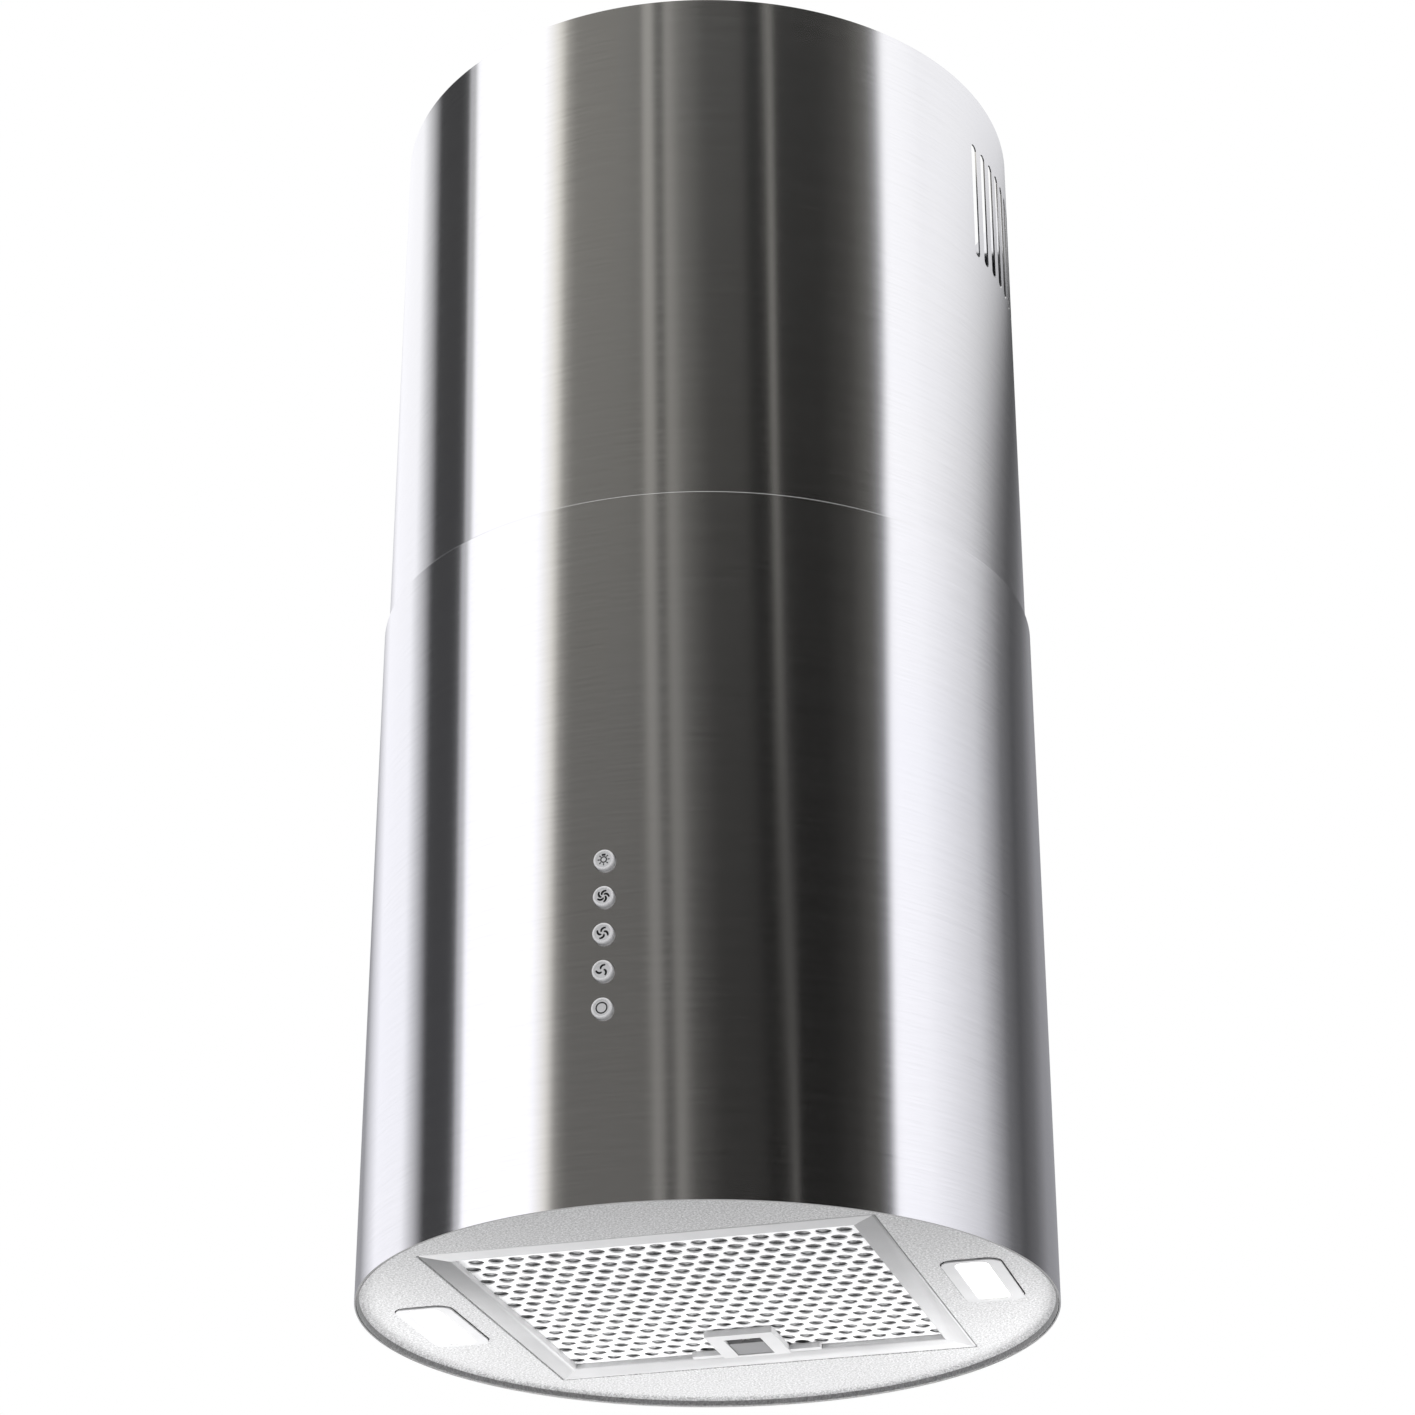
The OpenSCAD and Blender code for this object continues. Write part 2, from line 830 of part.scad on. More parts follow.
module latch_slider() {
    color(filter_grey)
        from_edge() {
            box([-13.5, 71.6, panel_h + 1], [13.5, 90, panel_h + 2.5]);
            box([-9.2, 71.6, panel_h - 0.1], [9.2, 90.9, panel_h + 1.1]);
            for (s = [-1, 1])
                box([s * prong_x - 2, 86, panel_h + 1.5],
                    [s * prong_x + 2, open_y + 5, panel_h + 2.5]);
        }
}

module latch_spring() {
    color(dark_steel)
        from_edge()
            translate([0, 0, panel_h + 1.3])
                linear_extrude(1)
                    for (x = [-1, 1])
                        translate([x * 3, 64.8])
                            rotate(x * 37)
                                square([0.8, 16], center = true);
}

// ---------- buttons and switches ----------

// Cap with a bevelled rim, guide stem and stop collar.
module button(i) {
    front = -lower_r - button_out;
    color(silver_paint)
        from_edge()
            translate([0, front, button_h(i)])
                rotate([-90, 0, 0])
                    rotate_extrude()
                        polygon([[0, 0.35], [cap_r - 1.1, 0.35], [cap_r - 0.9, 0],
                                 [cap_r - 0.5, 0], [cap_r, 0.6], [cap_r, 4.1], [3.6, 4.1],
                                 [3.6, box_y + 2.3 - front], [5, box_y + 2.3 - front],
                                 [5, box_y + 3.4 - front], [3.6, box_y + 3.4 - front],
                                 [3.6, box_y + 8.5 - front], [0, box_y + 8.5 - front]]);
}

module button_light() { button(4); }
module button_high() { button(3); }
module button_medium() { button(2); }
module button_low() { button(1); }
module button_off() { button(0); }

module switch_box() {
    h0 = button_low_h - 13;
    h1 = button_low_h + 4 * button_pitch + 13;
    color(black)
        from_edge()
            difference() {
                union() {
                    box([-16, box_y, h0], [16, box_y + 20, h1]);
                    box([-12, box_y + 3, chassis_h + sheet_t], [12, box_y + 5, h0 + 1]);
                    box([-12, box_y + 3, chassis_h + sheet_t],
                        [12, box_y + 18, chassis_h + sheet_t + 1.5]);
                }
                box([-14, box_y + 2, h0 + 2], [14, box_y + 21, h1 - 2]);
                for (i = [0 : 4])
                    rod_y(3.9, box_y - 1, box_y + 5, 0, button_h(i));
            }
}

module switch_board() {
    h0 = button_low_h - 10.8;
    h1 = button_low_h + 4 * button_pitch + 10.8;
    color(board_green)
        from_edge() {
            box([-13.8, box_y + 16.5, h0], [13.8, box_y + 18.1, h1]);
            for (i = [0 : 4])
                rod_y(2, box_y + 12, box_y + 17, 0, button_h(i));
        }
}

module button_springs() {
    color(steel)
        from_edge()
            for (i = [0 : 4])
                difference() {
                    rod_y(5, box_y + 3.5, box_y + 16.4, 0, button_h(i));
                    rod_y(4.1, box_y + 3, box_y + 17, 0, button_h(i));
                }
}

ceiling_plate();
upper_tube();
upper_rail_fl();
upper_rail_fr();
upper_rail_bl();
upper_rail_br();
rail_fasteners();
tube_screws();
lower_tube();
lower_rail_fl();
lower_rail_fr();
lower_rail_bl();
lower_rail_br();
blower_plate();
outlet_collar();
flap_pin();
scroll_wrap();
scroll_side_left();
scroll_side_right();
inlet_ring_left();
inlet_ring_right();
motor();
motor_bracket();
capacitor();
junction_box();
junction_cover();
cable_gland();
led_driver();
chassis_frame();
base_pan();
lamp_housing_left();
lamp_housing_right();
lamp_board_left();
lamp_board_right();
lamp_lens_left();
lamp_lens_right();
switch_box();
switch_board();
button_springs();
frame_screws();
latch_strike();
button_light();
button_high();
button_medium();
button_low();
button_off();
filter_frame();
filter_front_sheet();
filter_mesh();
filter_back_sheet();
latch_body();
latch_slider();
latch_spring();
impeller();
motor_shaft();
flap_front();
flap_back();
charcoal_filter_left();
charcoal_filter_right();
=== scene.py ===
"""Island range hood: looks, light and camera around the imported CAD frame. Metres, +Z up."""
import json
import math

import bmesh
import bpy
from mathutils import Matrix, Vector


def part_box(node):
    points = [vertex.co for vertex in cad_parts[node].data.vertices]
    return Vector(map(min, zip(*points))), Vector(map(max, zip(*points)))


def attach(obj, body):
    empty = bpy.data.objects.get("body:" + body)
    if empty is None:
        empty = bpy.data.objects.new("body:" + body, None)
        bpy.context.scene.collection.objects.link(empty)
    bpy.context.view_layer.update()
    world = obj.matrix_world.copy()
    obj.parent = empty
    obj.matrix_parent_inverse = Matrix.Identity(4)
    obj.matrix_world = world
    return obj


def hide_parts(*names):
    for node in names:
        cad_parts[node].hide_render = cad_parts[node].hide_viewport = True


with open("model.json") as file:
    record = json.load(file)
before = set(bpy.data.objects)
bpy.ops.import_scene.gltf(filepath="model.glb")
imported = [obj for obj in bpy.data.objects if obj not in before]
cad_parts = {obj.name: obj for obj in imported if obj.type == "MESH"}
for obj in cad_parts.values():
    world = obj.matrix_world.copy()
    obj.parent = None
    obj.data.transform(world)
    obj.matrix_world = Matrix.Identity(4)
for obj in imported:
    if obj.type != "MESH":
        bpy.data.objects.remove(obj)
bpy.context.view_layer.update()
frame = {"nodes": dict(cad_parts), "record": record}
NODES = frame["nodes"]
MM = 0.001


# ---------------------------------------------------------------- sizes from the frame

def span(node):
    """Lowest and highest corner of a CAD node as vectors."""
    lo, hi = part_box(node)
    return Vector(lo), Vector(hi)


LOW_LO, LOW_HI = span("lower_tube")
UP_LO, UP_HI = span("upper_tube")
LOWER_R = LOW_HI.x
UPPER_R = UP_HI.x
WALL = 0.8 * MM
EDGE_Z = LOW_LO.z
BUTTONS = ["button_off", "button_low", "button_medium", "button_high", "button_light"]


# ---------------------------------------------------------------- node material helpers

def add_node(tree, kind, links=None, **props):
    """Adds a node; links maps each socket to another node's output or to a plain value."""
    made = tree.nodes.new(kind)
    for key, value in props.items():
        setattr(made, key, value)
    for socket, source in (links or {}).items():
        if hasattr(source, "is_output"):
            tree.links.new(source, made.inputs[socket])
        else:
            made.inputs[socket].default_value = source
    return made


class Shader:
    """A small wrapper that builds one node material."""

    def __init__(self, name, **sockets):
        self.mat = bpy.data.materials.new(name)
        self.mat.use_nodes = True
        self.tree = self.mat.node_tree
        self.bsdf = self.tree.nodes["Principled BSDF"]
        for key, value in sockets.items():
            self.bsdf.inputs[key.replace("_", " ")].default_value = value

    def node(self, kind, links=None, **props):
        return add_node(self.tree, kind, links, **props)

    def math(self, op, a, b=0.0, c=0.0):
        return self.node("ShaderNodeMath", {0: a, 1: b, 2: c}, operation=op).outputs[0]

    def local(self):
        return self.node("ShaderNodeTexCoord").outputs["Object"]

    def stretched(self, sx, sy, sz):
        """Object coordinates scaled along each axis."""
        return self.node("ShaderNodeMapping", {"Vector": self.local(),
                                               "Scale": (sx, sy, sz)}).outputs[0]

    def around(self, per_turn, per_metre):
        """Coordinates that run round the Z axis and up it, for a brushed tube."""
        xyz = self.node("ShaderNodeSeparateXYZ", {0: self.local()}).outputs
        angle = self.math("ARCTAN2", xyz[0], xyz[1])
        return self.node("ShaderNodeCombineXYZ", {
            0: self.math("MULTIPLY", angle, per_turn / math.tau),
            1: self.math("MULTIPLY", xyz[2], per_metre)}).outputs[0]

    def noise(self, where, scale, detail=3.0, rough=0.55):
        return self.node("ShaderNodeTexNoise", {"Vector": where, "Scale": scale,
                                                "Detail": detail, "Roughness": rough})

    def ramp(self, value, stops):
        ramp = self.node("ShaderNodeValToRGB", {0: value})
        fill_ramp(ramp.color_ramp, stops)
        return ramp.outputs[0]

    def range(self, value, low, high, from_low=0.3, from_high=0.7):
        return self.node("ShaderNodeMapRange", {0: value, 1: from_low, 2: from_high,
                                                3: low, 4: high}).outputs[0]

    def bump(self, height, strength, distance):
        return self.node("ShaderNodeBump", {"Height": height, "Strength": strength,
                                            "Distance": distance}).outputs[0]

    def plug(self, **sources):
        """Links node outputs to the surface's own sockets."""
        for key, source in sources.items():
            self.tree.links.new(source, self.bsdf.inputs[key.replace("_", " ")])
        return self


def fill_ramp(ramp, stops):
    """Puts (place, colour) stops on a colour ramp; a colour may be one grey number."""
    while len(ramp.elements) > 1:
        ramp.elements.remove(ramp.elements[-1])
    for i, (place, tone) in enumerate(stops):
        stop = ramp.elements[0] if i == 0 else ramp.elements.new(place)
        stop.position = place
        rgb = (tone, tone, tone) if isinstance(tone, (int, float)) else tone
        stop.color = (*rgb, 1.0)


# ---------------------------------------------------------------- materials

def brushed_tube():
    """Stainless sheet brushed round the tube: long fine streaks, slight colour drift."""
    s = Shader("brushed_tube", Metallic=1.0, Roughness=0.14, Anisotropic=0.9,
               Anisotropic_Rotation=0.25)
    fine = s.noise(s.around(60, 4200), 1.0, 4.0, 0.65).outputs[0]
    broad = s.noise(s.around(14, 500), 1.0, 3.0).outputs[0]
    drift = s.noise(s.around(3, 6), 1.0, 2.0).outputs[0]
    streak = s.math("MULTIPLY_ADD", fine, 0.7, s.math("MULTIPLY", broad, 0.3))
    base = s.ramp(streak, [(0.3, (0.74, 0.735, 0.725)), (0.5, (0.82, 0.815, 0.805)),
                           (0.72, (0.88, 0.875, 0.865))])
    tinted = s.node("ShaderNodeMix", {0: s.range(drift, 0.0, 0.5), 6: base,
                                      7: (0.80, 0.805, 0.82, 1.0)},
                    data_type="RGBA").outputs[2]
    tangent = s.node("ShaderNodeTangent", direction_type="RADIAL", axis="Z").outputs[0]
    return s.plug(Base_Color=tinted, Roughness=s.range(streak, 0.11, 0.17),
                  Normal=s.bump(streak, 0.1, 0.00002), Tangent=tangent).mat


def galvanised():
    """Zinc-coated sheet: faint spangle and rolling marks."""
    s = Shader("galvanised_sheet", Metallic=0.9, Roughness=0.42)
    cells = s.node("ShaderNodeTexVoronoi", {"Vector": s.local(), "Scale": 170.0}).outputs
    lines = s.noise(s.stretched(300, 300, 2500), 1.0).outputs[0]
    spangle = s.node("ShaderNodeSeparateColor", {0: cells["Color"]}).outputs[0]
    mix = s.math("MULTIPLY_ADD", spangle, 0.6, s.math("MULTIPLY", lines, 0.4))
    return s.plug(Base_Color=s.ramp(mix, [(0.1, (0.47, 0.49, 0.51)), (0.9, (0.66, 0.68, 0.7))]),
                  Roughness=s.range(mix, 0.34, 0.52, 0.1, 0.9),
                  Normal=s.bump(lines, 0.15, 0.0001)).mat


def zinc_plated(name):
    """Zinc-plated or turned steel with a fine grain."""
    s = Shader(name, Metallic=1.0, Roughness=0.32)
    grain = s.noise(s.local(), 1800.0, 4.0).outputs[0]
    return s.plug(Base_Color=s.ramp(grain, [(0.3, (0.5, 0.5, 0.47)), (0.7, (0.68, 0.67, 0.62))]),
                  Roughness=s.range(grain, 0.25, 0.42),
                  Normal=s.bump(grain, 0.2, 0.00005)).mat


def silver_lacquer(name, tone):
    """Powder-like silver lacquer with a visible fine grain; tone scales its brightness."""
    s = Shader(name, Metallic=0.3, Roughness=0.5, Coat_Weight=0.12, Coat_Roughness=0.35)
    grain = s.noise(s.local(), 900.0, 2.0, 0.6).outputs[0]
    speck = s.noise(s.local(), 2600.0, 1.0, 0.5).outputs[0]
    both = s.math("MULTIPLY_ADD", grain, 0.6, s.math("MULTIPLY", speck, 0.4))
    tones = [(place, (grey * tone, grey * tone, (grey + 0.005) * tone))
             for place, grey in ((0.36, 0.36), (0.5, 0.7), (0.64, 1.04))]
    return s.plug(Base_Color=s.ramp(both, tones),
                  Roughness=s.range(both, 0.36, 0.6),
                  Normal=s.bump(both, 0.35, 0.00012)).mat


def filter_lacquer(name, low, high):
    """Satin lacquered aluminium, between a low and a high grey."""
    s = Shader(name, Metallic=0.08, Roughness=0.42, Coat_Weight=0.15, Coat_Roughness=0.3)
    grain = s.noise(s.local(), 2600.0, 3.0).outputs[0]
    cloud = s.noise(s.local(), 30.0, 3.0).outputs[0]
    mix = s.math("MULTIPLY_ADD", grain, 0.5, s.math("MULTIPLY", cloud, 0.5))
    return s.plug(Base_Color=s.ramp(mix, [(0.3, (low, low, low + 0.005)),
                                          (0.7, (high, high, high + 0.005))]),
                  Roughness=s.range(grain, 0.36, 0.5),
                  Normal=s.bump(grain, 0.12, 0.00005)).mat


def filter_mesh_metal():
    """Layered expanded mesh seen through the holes."""
    s = Shader("layered_mesh", Metallic=0.35, Roughness=0.45)
    cells = s.node("ShaderNodeTexVoronoi", {"Vector": s.stretched(1.0, 1.7, 1.0),
                                            "Scale": 420.0}, feature="DISTANCE_TO_EDGE")
    strand = cells.outputs["Distance"]
    tones = [(0.0, (0.5, 0.5, 0.505)), (0.12, (0.4, 0.4, 0.405)), (0.3, (0.26, 0.26, 0.265))]
    return s.plug(Base_Color=s.ramp(strand, tones),
                  Normal=s.bump(s.math("MULTIPLY", strand, -1.0), 0.6, 0.0006)).mat


def button_metal():
    """Bright turned rim and side of a button cap."""
    s = Shader("button_metal", Metallic=0.25, Roughness=0.3, Anisotropic=0.4)
    grain = s.noise(s.stretched(1.0, 0.05, 1.0), 3000.0, 3.0).outputs[0]
    return s.plug(Base_Color=s.ramp(grain, [(0.3, (0.93, 0.93, 0.94)), (0.7, (0.98, 0.98, 0.99))]),
                  Roughness=s.range(grain, 0.24, 0.4),
                  Normal=s.bump(grain, 0.15, 0.00003)).mat


def button_face():
    """Bead-blasted face inside the bright rim."""
    s = Shader("button_face", Metallic=0.15, Roughness=0.5)
    grain = s.noise(s.local(), 4200.0, 3.0).outputs[0]
    return s.plug(Base_Color=s.ramp(grain, [(0.3, (0.62, 0.62, 0.63)), (0.7, (0.76, 0.76, 0.77))]),
                  Roughness=s.range(grain, 0.42, 0.6),
                  Normal=s.bump(grain, 0.3, 0.00004)).mat


def moulded(name, low, high, rough, grain_size, strength=0.2):
    """Moulded or painted surface: two close tones, fine texture."""
    s = Shader(name, Roughness=rough, Specular_IOR_Level=0.4)
    grain = s.noise(s.local(), grain_size, 3.0).outputs[0]
    cloud = s.noise(s.local(), 25.0, 2.0).outputs[0]
    mix = s.math("MULTIPLY_ADD", grain, 0.5, s.math("MULTIPLY", cloud, 0.5))
    return s.plug(Base_Color=s.ramp(mix, [(0.35, low), (0.65, high)]),
                  Roughness=s.range(grain, rough - 0.08, rough + 0.1),
                  Normal=s.bump(grain, strength, 0.0001)).mat


def circuit_board():
    """Green board with paler tracks."""
    s = Shader("circuit_board", Roughness=0.35, Coat_Weight=0.4, Coat_Roughness=0.2)
    tracks = s.node("ShaderNodeTexBrick", {"Vector": s.stretched(1.0, 1.0, 1.0),
                                           "Scale": 260.0, "Mortar Size": 0.03,
                                           "Color1": (0.02, 0.16, 0.07, 1),
                                           "Color2": (0.03, 0.2, 0.09, 1),
                                           "Mortar": (0.09, 0.34, 0.16, 1)})
    return s.plug(Base_Color=tracks.outputs[0],
                  Normal=s.bump(tracks.outputs[1], 0.2, 0.0001)).mat


def lit_lens():
    """Frosted diffuser of a lamp that is switched on."""
    s = Shader("lit_lens", Roughness=0.4, Base_Color=(0.95, 0.95, 0.93, 1.0),
               Emission_Strength=1.6)
    frost = s.noise(s.local(), 900.0, 2.0).outputs[0]
    ribs = s.node("ShaderNodeTexWave", {"Vector": s.local(), "Scale": 260.0,
                                        "Distortion": 0.4}, bands_direction="Y").outputs[1]
    mix = s.math("MULTIPLY_ADD", frost, 0.5, s.math("MULTIPLY", ribs, 0.5))
    return s.plug(Emission_Color=s.ramp(mix, [(0.2, (0.93, 0.92, 0.89)), (0.8, (1.0, 1.0, 0.98))]),
                  Normal=s.bump(mix, 0.2, 0.0001)).mat


MATERIALS = {
    "stainless": brushed_tube(),
    "turned_steel": zinc_plated("turned_steel"),
    "galvanised": galvanised(),
    "fastener": zinc_plated("zinc_fastener"),
    "silver_paint": silver_lacquer("silver_lacquer", 0.75),
    "filter_metal": filter_lacquer("filter_lacquer", 0.46, 0.56),
    "mesh": filter_mesh_metal(),
    "button_cap": button_metal(),
    "motor_case": moulded("motor_enamel", (0.06, 0.062, 0.07), (0.1, 0.105, 0.115), 0.4, 1200.0),
    "black_plastic": moulded("black_plastic", (0.012, 0.012, 0.013), (0.025, 0.025, 0.027),
                             0.5, 1600.0, 0.3),
    "white_plastic": moulded("white_plastic", (0.72, 0.72, 0.7), (0.84, 0.84, 0.82), 0.35,
                             900.0, 0.1),
    "board": circuit_board(),
    "lens": lit_lens(),
}
BUTTON_FACE = button_face()
# A darker copy of the silver lacquer: painted shade for the lip's inner wall, which sits in
# shadow.
LIP_PAINTED_SHADE = silver_lacquer("lip_painted_shade", 0.26)
SHEET_WHITE = filter_lacquer("sheet_lacquer", 0.9, 0.97)
# Dark lacquer for the latch slider: painted shade for the shadowed recess behind the latch's
# window.
CATCH_PAINTED_SHADE = filter_lacquer("catch_painted_shade", 0.16, 0.22)
INK = moulded("pictogram_ink", (0.004, 0.004, 0.005), (0.01, 0.01, 0.011), 0.75, 2500.0, 0.1)

for part in frame["record"]["subparts"]:
    mesh = NODES[part["node"]].data
    mesh.materials.clear()
    mesh.materials.append(MATERIALS[part["material_slot"]])
# The slider seen through the latch's window gets the dark lacquer as painted shade for the recess.
NODES["latch_slider"].data.materials[0] = CATCH_PAINTED_SHADE


# ---------------------------------------------------------------- mesh helpers

def new_object(name, bm, material, smooth_angle=35.0):
    """Turns a bmesh into a linked object with one material and sharp edges by angle."""
    mesh = bpy.data.meshes.new(name)
    bmesh.ops.recalc_face_normals(bm, faces=bm.faces)
    bm.to_mesh(mesh)
    bm.free()
    obj = bpy.data.objects.new(name, mesh)
    bpy.context.collection.objects.link(obj)
    mesh.materials.append(material)
    mesh.shade_smooth()
    mesh.set_sharp_from_angle(angle=math.radians(smooth_angle))
    return obj


def place(obj, body, slot, *nodes):
    """Rides the piece on its body and hides the CAD nodes it stands for; slot is not used."""
    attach(obj, body)
    if nodes:
        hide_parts(*nodes)
    return obj


def arc(cx, cz, r, a0, a1, n):
    """Points (radius, height) on an arc from angle a0 to a1, in degrees."""
    return [(cx + r * math.cos(math.radians(a0 + (a1 - a0) * i / n)),
             cz + r * math.sin(math.radians(a0 + (a1 - a0) * i / n))) for i in range(n + 1)]


def wrap(bm, here, there):
    """Faces between two closed loops of vertices."""
    n = len(here)
    for k in range(n):
        bm.faces.new((here[k], here[(k + 1) % n], there[(k + 1) % n], there[k]))


def wrap_chain(bm, loops):
    """Faces between each loop and the next, and from the last back to the first."""
    for here, there in zip(loops, loops[1:] + loops[:1]):
        wrap(bm, here, there)


def lathe(bm, profile, segments):
    """Turns a closed loop of (radius, height) points about Z."""
    rings = []
    for i in range(segments):
        a = math.tau * i / segments
        rings.append([bm.verts.new((r * math.cos(a), r * math.sin(a), z)) for r, z in profile])
    n = len(profile)
    for i in range(segments):
        here, there = rings[i], rings[(i + 1) % segments]
        for k in range(n):
            bm.faces.new((here[k], there[k], there[(k + 1) % n], here[(k + 1) % n]))


def round_tube(r_out, r_in, z0, z1, edge, top_edge=None):
    """Profile of a tube wall whose two rims are rounded on the outside."""
    top = top_edge or edge
    return ([(r_in, z0)] + arc(r_out - edge, z0 + edge, edge, -90, 0, 4)
            + arc(r_out - top, z1 - top, top, 0, 90, 5) + [(r_in, z1)])


def apply_modifiers(obj):
    """Bakes the modifiers into the mesh."""
    graph = bpy.context.evaluated_depsgraph_get()
    mesh = bpy.data.meshes.new_from_object(obj.evaluated_get(graph))
    obj.modifiers.clear()
    obj.data = mesh
    return obj


def combine(obj, other, operation):
    """Applies a closed solid to the object by an exact boolean and deletes the solid."""
    mod = obj.modifiers.new("boolean", "BOOLEAN")
    mod.operation, mod.object, mod.solver = operation, other, "EXACT"
    apply_modifiers(obj)
    bpy.data.objects.remove(other)


def cut(obj, cutter):
    """Subtracts a closed cutter object."""
    combine(obj, cutter, "DIFFERENCE")


def join_solid(obj, other):
    """Adds a closed solid to the object."""
    combine(obj, other, "UNION")


def prism(bm, outline, to_world, depth):
    """Closed prism: a flat outline pushed along +w by depth, placed by to_world(u, v, w)."""
    low = [bm.verts.new(to_world(u, v, 0.0)) for u, v in outline]
    high = [bm.verts.new(to_world(u, v, depth)) for u, v in outline]
    bm.faces.new(low[::-1])
    bm.faces.new(high)
    wrap(bm, low, high)


def circle_points(r, n):
    return [(r * math.cos(math.tau * i / n), r * math.sin(math.tau * i / n)) for i in range(n)]


def rounded_rect(w, d, r, n=6, cx=0.0, cy=0.0):
    """Outline of a rounded rectangle, anticlockwise."""
    points = []
    for sx, sy, a0 in ((1, 1, 0), (-1, 1, 90), (-1, -1, 180), (1, -1, 270)):
        points += arc(cx + sx * (w / 2 - r), cy + sy * (d / 2 - r), r, a0, a0 + 90, n)
    return points


def wall_normals(obj, tolerance=0.06):
    """Gives the walls of a tube on the Z axis exact round normals; other faces stay flat."""
    mesh = obj.data
    normals = [None] * len(mesh.loops)
    for poly in mesh.polygons:
        c = Vector((poly.center.x, poly.center.y, 0)).normalized()
        side = poly.normal.dot(c)
        round_wall = abs(abs(side) - 1) < tolerance
        for li in poly.loop_indices:
            co = mesh.vertices[mesh.loops[li].vertex_index].co
            out = Vector((co.x, co.y, 0)).normalized()
            normals[li] = out * (1 if side > 0 else -1) if round_wall else poly.normal
    mesh.normals_split_custom_set(normals)


# ---------------------------------------------------------------- tubes

SEGMENTS = 360
BUTTON_GAP = 0.25 * MM

bm = bmesh.new()
lathe(bm, round_tube(LOWER_R, LOWER_R - WALL, LOW_LO.z, LOW_HI.z, 0.3 * MM, 0.7 * MM), SEGMENTS)
lower_tube = new_object("lower_tube_shell", bm, MATERIALS["stainless"])

bm = bmesh.new()
for name in BUTTONS:
    lo, hi = span(name)
    hole_r = (hi.x - lo.x) / 2 + BUTTON_GAP
    cz = (lo.z + hi.z) / 2
    prism(bm, circle_points(hole_r, 40), lambda u, v, w, cz=cz: (u, -LOWER_R - 5 * MM + w, cz + v),
          12 * MM)
cut(lower_tube, new_object("button_cutter", bm, MATERIALS["stainless"]))
place(lower_tube, "hood_body", "stainless", "lower_tube")

VENTS = 9
VENT_PITCH = math.radians(3.73)
VENT_W = 5.6 * MM
VENT_LEN = 74 * MM
VENT_Z = UP_HI.z - 72.5 * MM

bm = bmesh.new()
lathe(bm, round_tube(UPPER_R, UPPER_R - WALL, UP_LO.z, UP_HI.z, 0.3 * MM), SEGMENTS)
upper_tube = new_object("upper_tube_shell", bm, MATERIALS["stainless"])
bm = bmesh.new()
slot_outline = rounded_rect(VENT_W, VENT_LEN, VENT_W / 2 - 1e-6, 8)
for side in (0.0, math.pi):
    for k in range(VENTS):
        turn = Matrix.Rotation(side + (k - (VENTS - 1) / 2) * VENT_PITCH, 3, "Z")
        prism(bm, slot_outline, lambda u, v, w, turn=turn: turn @ Vector(
            (UPPER_R - 5 * MM + w, u, VENT_Z + v)), 10 * MM)
cut(upper_tube, new_object("vent_cutter", bm, MATERIALS["stainless"]))
place(upper_tube, "ceiling_mount", "stainless", "upper_tube")
for tube in (lower_tube, upper_tube):
    wall_normals(tube)


# ---------------------------------------------------------------- underside panel

def height(h):
    """Row Z of a height in millimetres above the lower edge."""
    return EDGE_Z + h * MM


def loft(bm, sections):
    """Closed solid through flat outlines, each given as (points in mm, height in mm)."""
    rings = [[bm.verts.new((x * MM, y * MM, height(h))) for x, y in points]
             for points, h in sections]
    bm.faces.new(rings[0][::-1])
    bm.faces.new(rings[-1])
    for low, high in zip(rings, rings[1:]):
        wrap(bm, low, high)


def block(bm, x0, x1, y0, y1, h0, h1, edge=0.0):
    """Box in millimetres; edge bevels its upright corners and both faces."""
    w, d = x1 - x0, y1 - y0
    cx, cy = (x0 + x1) / 2, (y0 + y1) / 2
    if edge:
        small = rounded_rect(w - edge, d - edge, edge / 2, 3, cx, cy)
        full = rounded_rect(w, d, edge, 3, cx, cy)
        loft(bm, [(small, h0), (full, h0 + edge / 2), (full, h1 - edge / 2), (small, h1)])
    else:
        outline = [(x0, y0), (x1, y0), (x1, y1), (x0, y1)]
        loft(bm, [(outline, h0), (outline, h1)])


def frame_ring(bm, outer, inner):
    """Closed ring between two lists of (outline, height), the outer going up, inner down."""
    wrap_chain(bm, [[bm.verts.new((x * MM, y * MM, height(h))) for x, y in points]
                    for points, h in outer + inner])


# Millimetres; heights are above the lower edge.
PAN_R, PAN_IN, PAN_TOP = 174.1, 173.0, 26.0
PANEL_H, PANEL_TOP = 4.8, 6.0
PANEL_CENTRE_R = 105.0
FILLET = 3.2
LIP_ROUND = 0.55
# Height in mm up to which the lip's inner wall carries the painted shade.
LIP_SHADE_TOP = 3.0
OPEN_X, OPEN_Y = 113.0, 112.5
FLANGE_T, FLANGE_TOP = 1.2, 20.0
CUT_TOP = 22.0
TAB_X = 60.0
LAMP_X = 140.0
LAMP_W, LAMP_D, LAMP_ROUND = 30.5, 68.3, 7.5
PRONG_X = 11.5

bm = bmesh.new()
pan_profile = ([(PANEL_CENTRE_R, PANEL_H)]
               + arc(PAN_IN - FILLET, PANEL_H - FILLET, FILLET, 90, 8, 9)
               + arc(PAN_R - LIP_ROUND, 0.4 + LIP_ROUND, LIP_ROUND, -180, 0, 6)
               + [(PAN_R, PAN_TOP), (PAN_IN, PAN_TOP), (PAN_IN, PANEL_TOP + 1.2)]
               + arc(PAN_IN - 1.2, PANEL_TOP + 1.2, 1.2, 0, -90, 3)[1:]
               + [(PANEL_CENTRE_R, PANEL_TOP)])
lathe(bm, [(r * MM, height(h)) for r, h in pan_profile], SEGMENTS)
pan = new_object("underside_panel", bm, MATERIALS["silver_paint"], 28.0)
